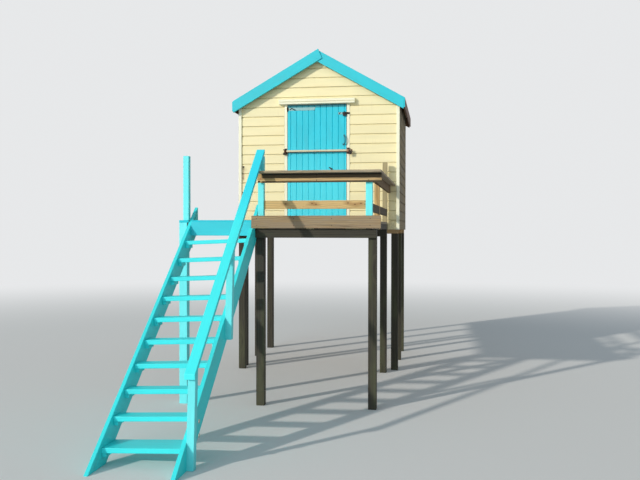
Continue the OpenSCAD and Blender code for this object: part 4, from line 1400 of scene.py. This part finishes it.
class HUT_OT_stair(bpy.types.Operator):
    """Makes the strings, treads, newels and handrail of the stair"""

    bl_idname = "hut.stair"
    bl_label = "Make the stair"

    def execute(self, context):
        timber("left_string", "aqua", "string_left")
        timber("right_string", "aqua", "string_right", rows=housing_rows())
        timber("treads", "aqua", "stair_treads", arris=0.004, along=X)
        timber("cleats", "aqua", "tread_cleats")
        timber("newel_posts", "post", "newels", arris=0.004, along=Z)
        timber("handrail_lengths", "handrail", "handrail", arris=0.0042, joint=rail_joint())
        stair_screws()
        bolt_rows()
        return {"FINISHED"}


def light_world():
    """Even light all round, and a pale background where the camera, metal and glass look."""
    world = bpy.data.worlds.new("studio")
    bpy.context.scene.world = world
    world.use_nodes = True
    nodes = Nodes(world.node_tree)
    soft = nodes.add("ShaderNodeBackground", sockets={"Color": SKYLIGHT, "Strength": AMBIENT})
    pale = nodes.add("ShaderNodeBackground", sockets={"Color": BACKDROP, "Strength": 1.0})
    both = nodes.add("ShaderNodeMixShader", sockets={0: nodes.looked_at(), 1: soft, 2: pale})
    nodes.add("ShaderNodeOutputWorld", sockets={"Surface": both})


def lay_floor():
    """A pale floor that keeps the hut's shadow and fades into the background far away."""
    pot = Pot("studio_floor", chosen("floor"))
    x, y, _ = pot.parts()
    far = pot.fade(pot.math("SQRT", x * x + y * y), 7.0, 22.0)
    near = pot.add("ShaderNodeBsdfDiffuse", sockets={"Color": pot.colour})
    pale = pot.add("ShaderNodeEmission", sockets={"Color": BACKDROP, "Strength": 1.0})
    both = pot.add("ShaderNodeMixShader", sockets={0: far * pot.looked_at(), 1: near, 2: pale})
    pot.add("ShaderNodeOutputMaterial", sockets={"Surface": both})
    bm = bmesh.new()
    bmesh.ops.create_circle(bm, cap_ends=True, segments=64, radius=400.0)
    floor = add_mesh("floor", bm)
    floor.data.materials.append(pot.material)
    floor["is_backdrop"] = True


def hang_lamp(name, energy, spread, colour, way):
    """A distant lamp that shines along a given way."""
    lamp = bpy.data.lights.new(name, "SUN")
    lamp.energy = energy
    lamp.angle = math.radians(spread)
    lamp.color = colour
    add_object(name, lamp).rotation_euler = Vector(way).to_track_quat("-Z", "Y").to_euler()


def set_camera():
    """The photograph's viewpoint: low on the beach, a little to the hut's right."""
    width, focal = 640.0, 753.18
    yaw, pitch, roll = -0.1586, -0.0125, 0.0013
    eye = Vector((1.789, -10.979, -0.170))
    lens = bpy.data.cameras.new("camera")
    lens.sensor_width = 36.0
    lens.lens = lens.sensor_width * focal / width
    camera = add_object("camera", lens)
    forward = Vector((math.sin(yaw) * math.cos(pitch), math.cos(yaw) * math.cos(pitch), math.sin(pitch)))
    right = Vector((math.cos(yaw), -math.sin(yaw), 0))
    up = right.cross(forward)
    right, up = math.cos(roll) * right + math.sin(roll) * up, math.cos(roll) * up - math.sin(roll) * right
    turn = Matrix((right, up, -forward)).transposed().to_4x4()
    camera.matrix_world = Matrix.Translation(eye + Vector((0, FRONT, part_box("deck_fascia")[1].z))) @ turn
    bpy.context.scene.camera = camera


class HUT_OT_stage(bpy.types.Operator):
    """Lays the floor, lights the hut and sets the camera"""

    bl_idname = "hut.stage"
    bl_label = "Set the stage"

    def execute(self, context):
        context.scene.view_settings.view_transform = "Standard"
        light_world()
        lay_floor()
        hang_lamp("key", energy=2.45, spread=1.6, colour=(1.0, 0.93, 0.84), way=(0.88, 1.0, -0.51))
        hang_lamp("fill", energy=0.82, spread=60, colour=(0.72, 0.87, 1.0), way=(0.25, 1.0, -0.35))
        set_camera()
        return {"FINISHED"}


STEPS = (HUT_OT_stage, HUT_OT_mix, HUT_OT_walls, HUT_OT_roof, HUT_OT_door, HUT_OT_ironwork, HUT_OT_deck,
         HUT_OT_rails, HUT_OT_stair)


class HUT_PT_panel(bpy.types.Panel):
    """Lists the steps that build the hut, with its sizes and colours"""

    bl_label = "Beach Hut"
    bl_space_type = "VIEW_3D"
    bl_region_type = "UI"
    bl_category = "Beach Hut"

    def draw(self, context):
        for step in STEPS:
            self.layout.operator(step.bl_idname)
        for group in (context.scene.hut_sizes, context.scene.hut_colours):
            for name in group.bl_rna.properties.keys():
                if name not in ("rna_type", "name"):
                    self.layout.prop(group, name)


CLASSES = (HutSizes, HutColours, *STEPS, HUT_PT_panel)


def register():
    for item in CLASSES:
        bpy.utils.register_class(item)
    bpy.types.Scene.hut_sizes = PointerProperty(type=HutSizes)
    bpy.types.Scene.hut_colours = PointerProperty(type=HutColours)


def unregister():
    del bpy.types.Scene.hut_colours
    del bpy.types.Scene.hut_sizes
    for item in reversed(CLASSES):
        bpy.utils.unregister_class(item)


def main():
    register()
    bpy.ops.hut.stage()
    bpy.ops.hut.mix()
    bpy.ops.hut.walls()
    bpy.ops.hut.roof()
    bpy.ops.hut.door()
    bpy.ops.hut.ironwork()
    bpy.ops.hut.deck()
    bpy.ops.hut.rails()
    bpy.ops.hut.stair()
    boxes = {"cad": cad_box, "visual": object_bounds()}
    {key: [list(corner) for corner in box] for key, box in boxes.items()}


if __name__ == "__main__":
    main()
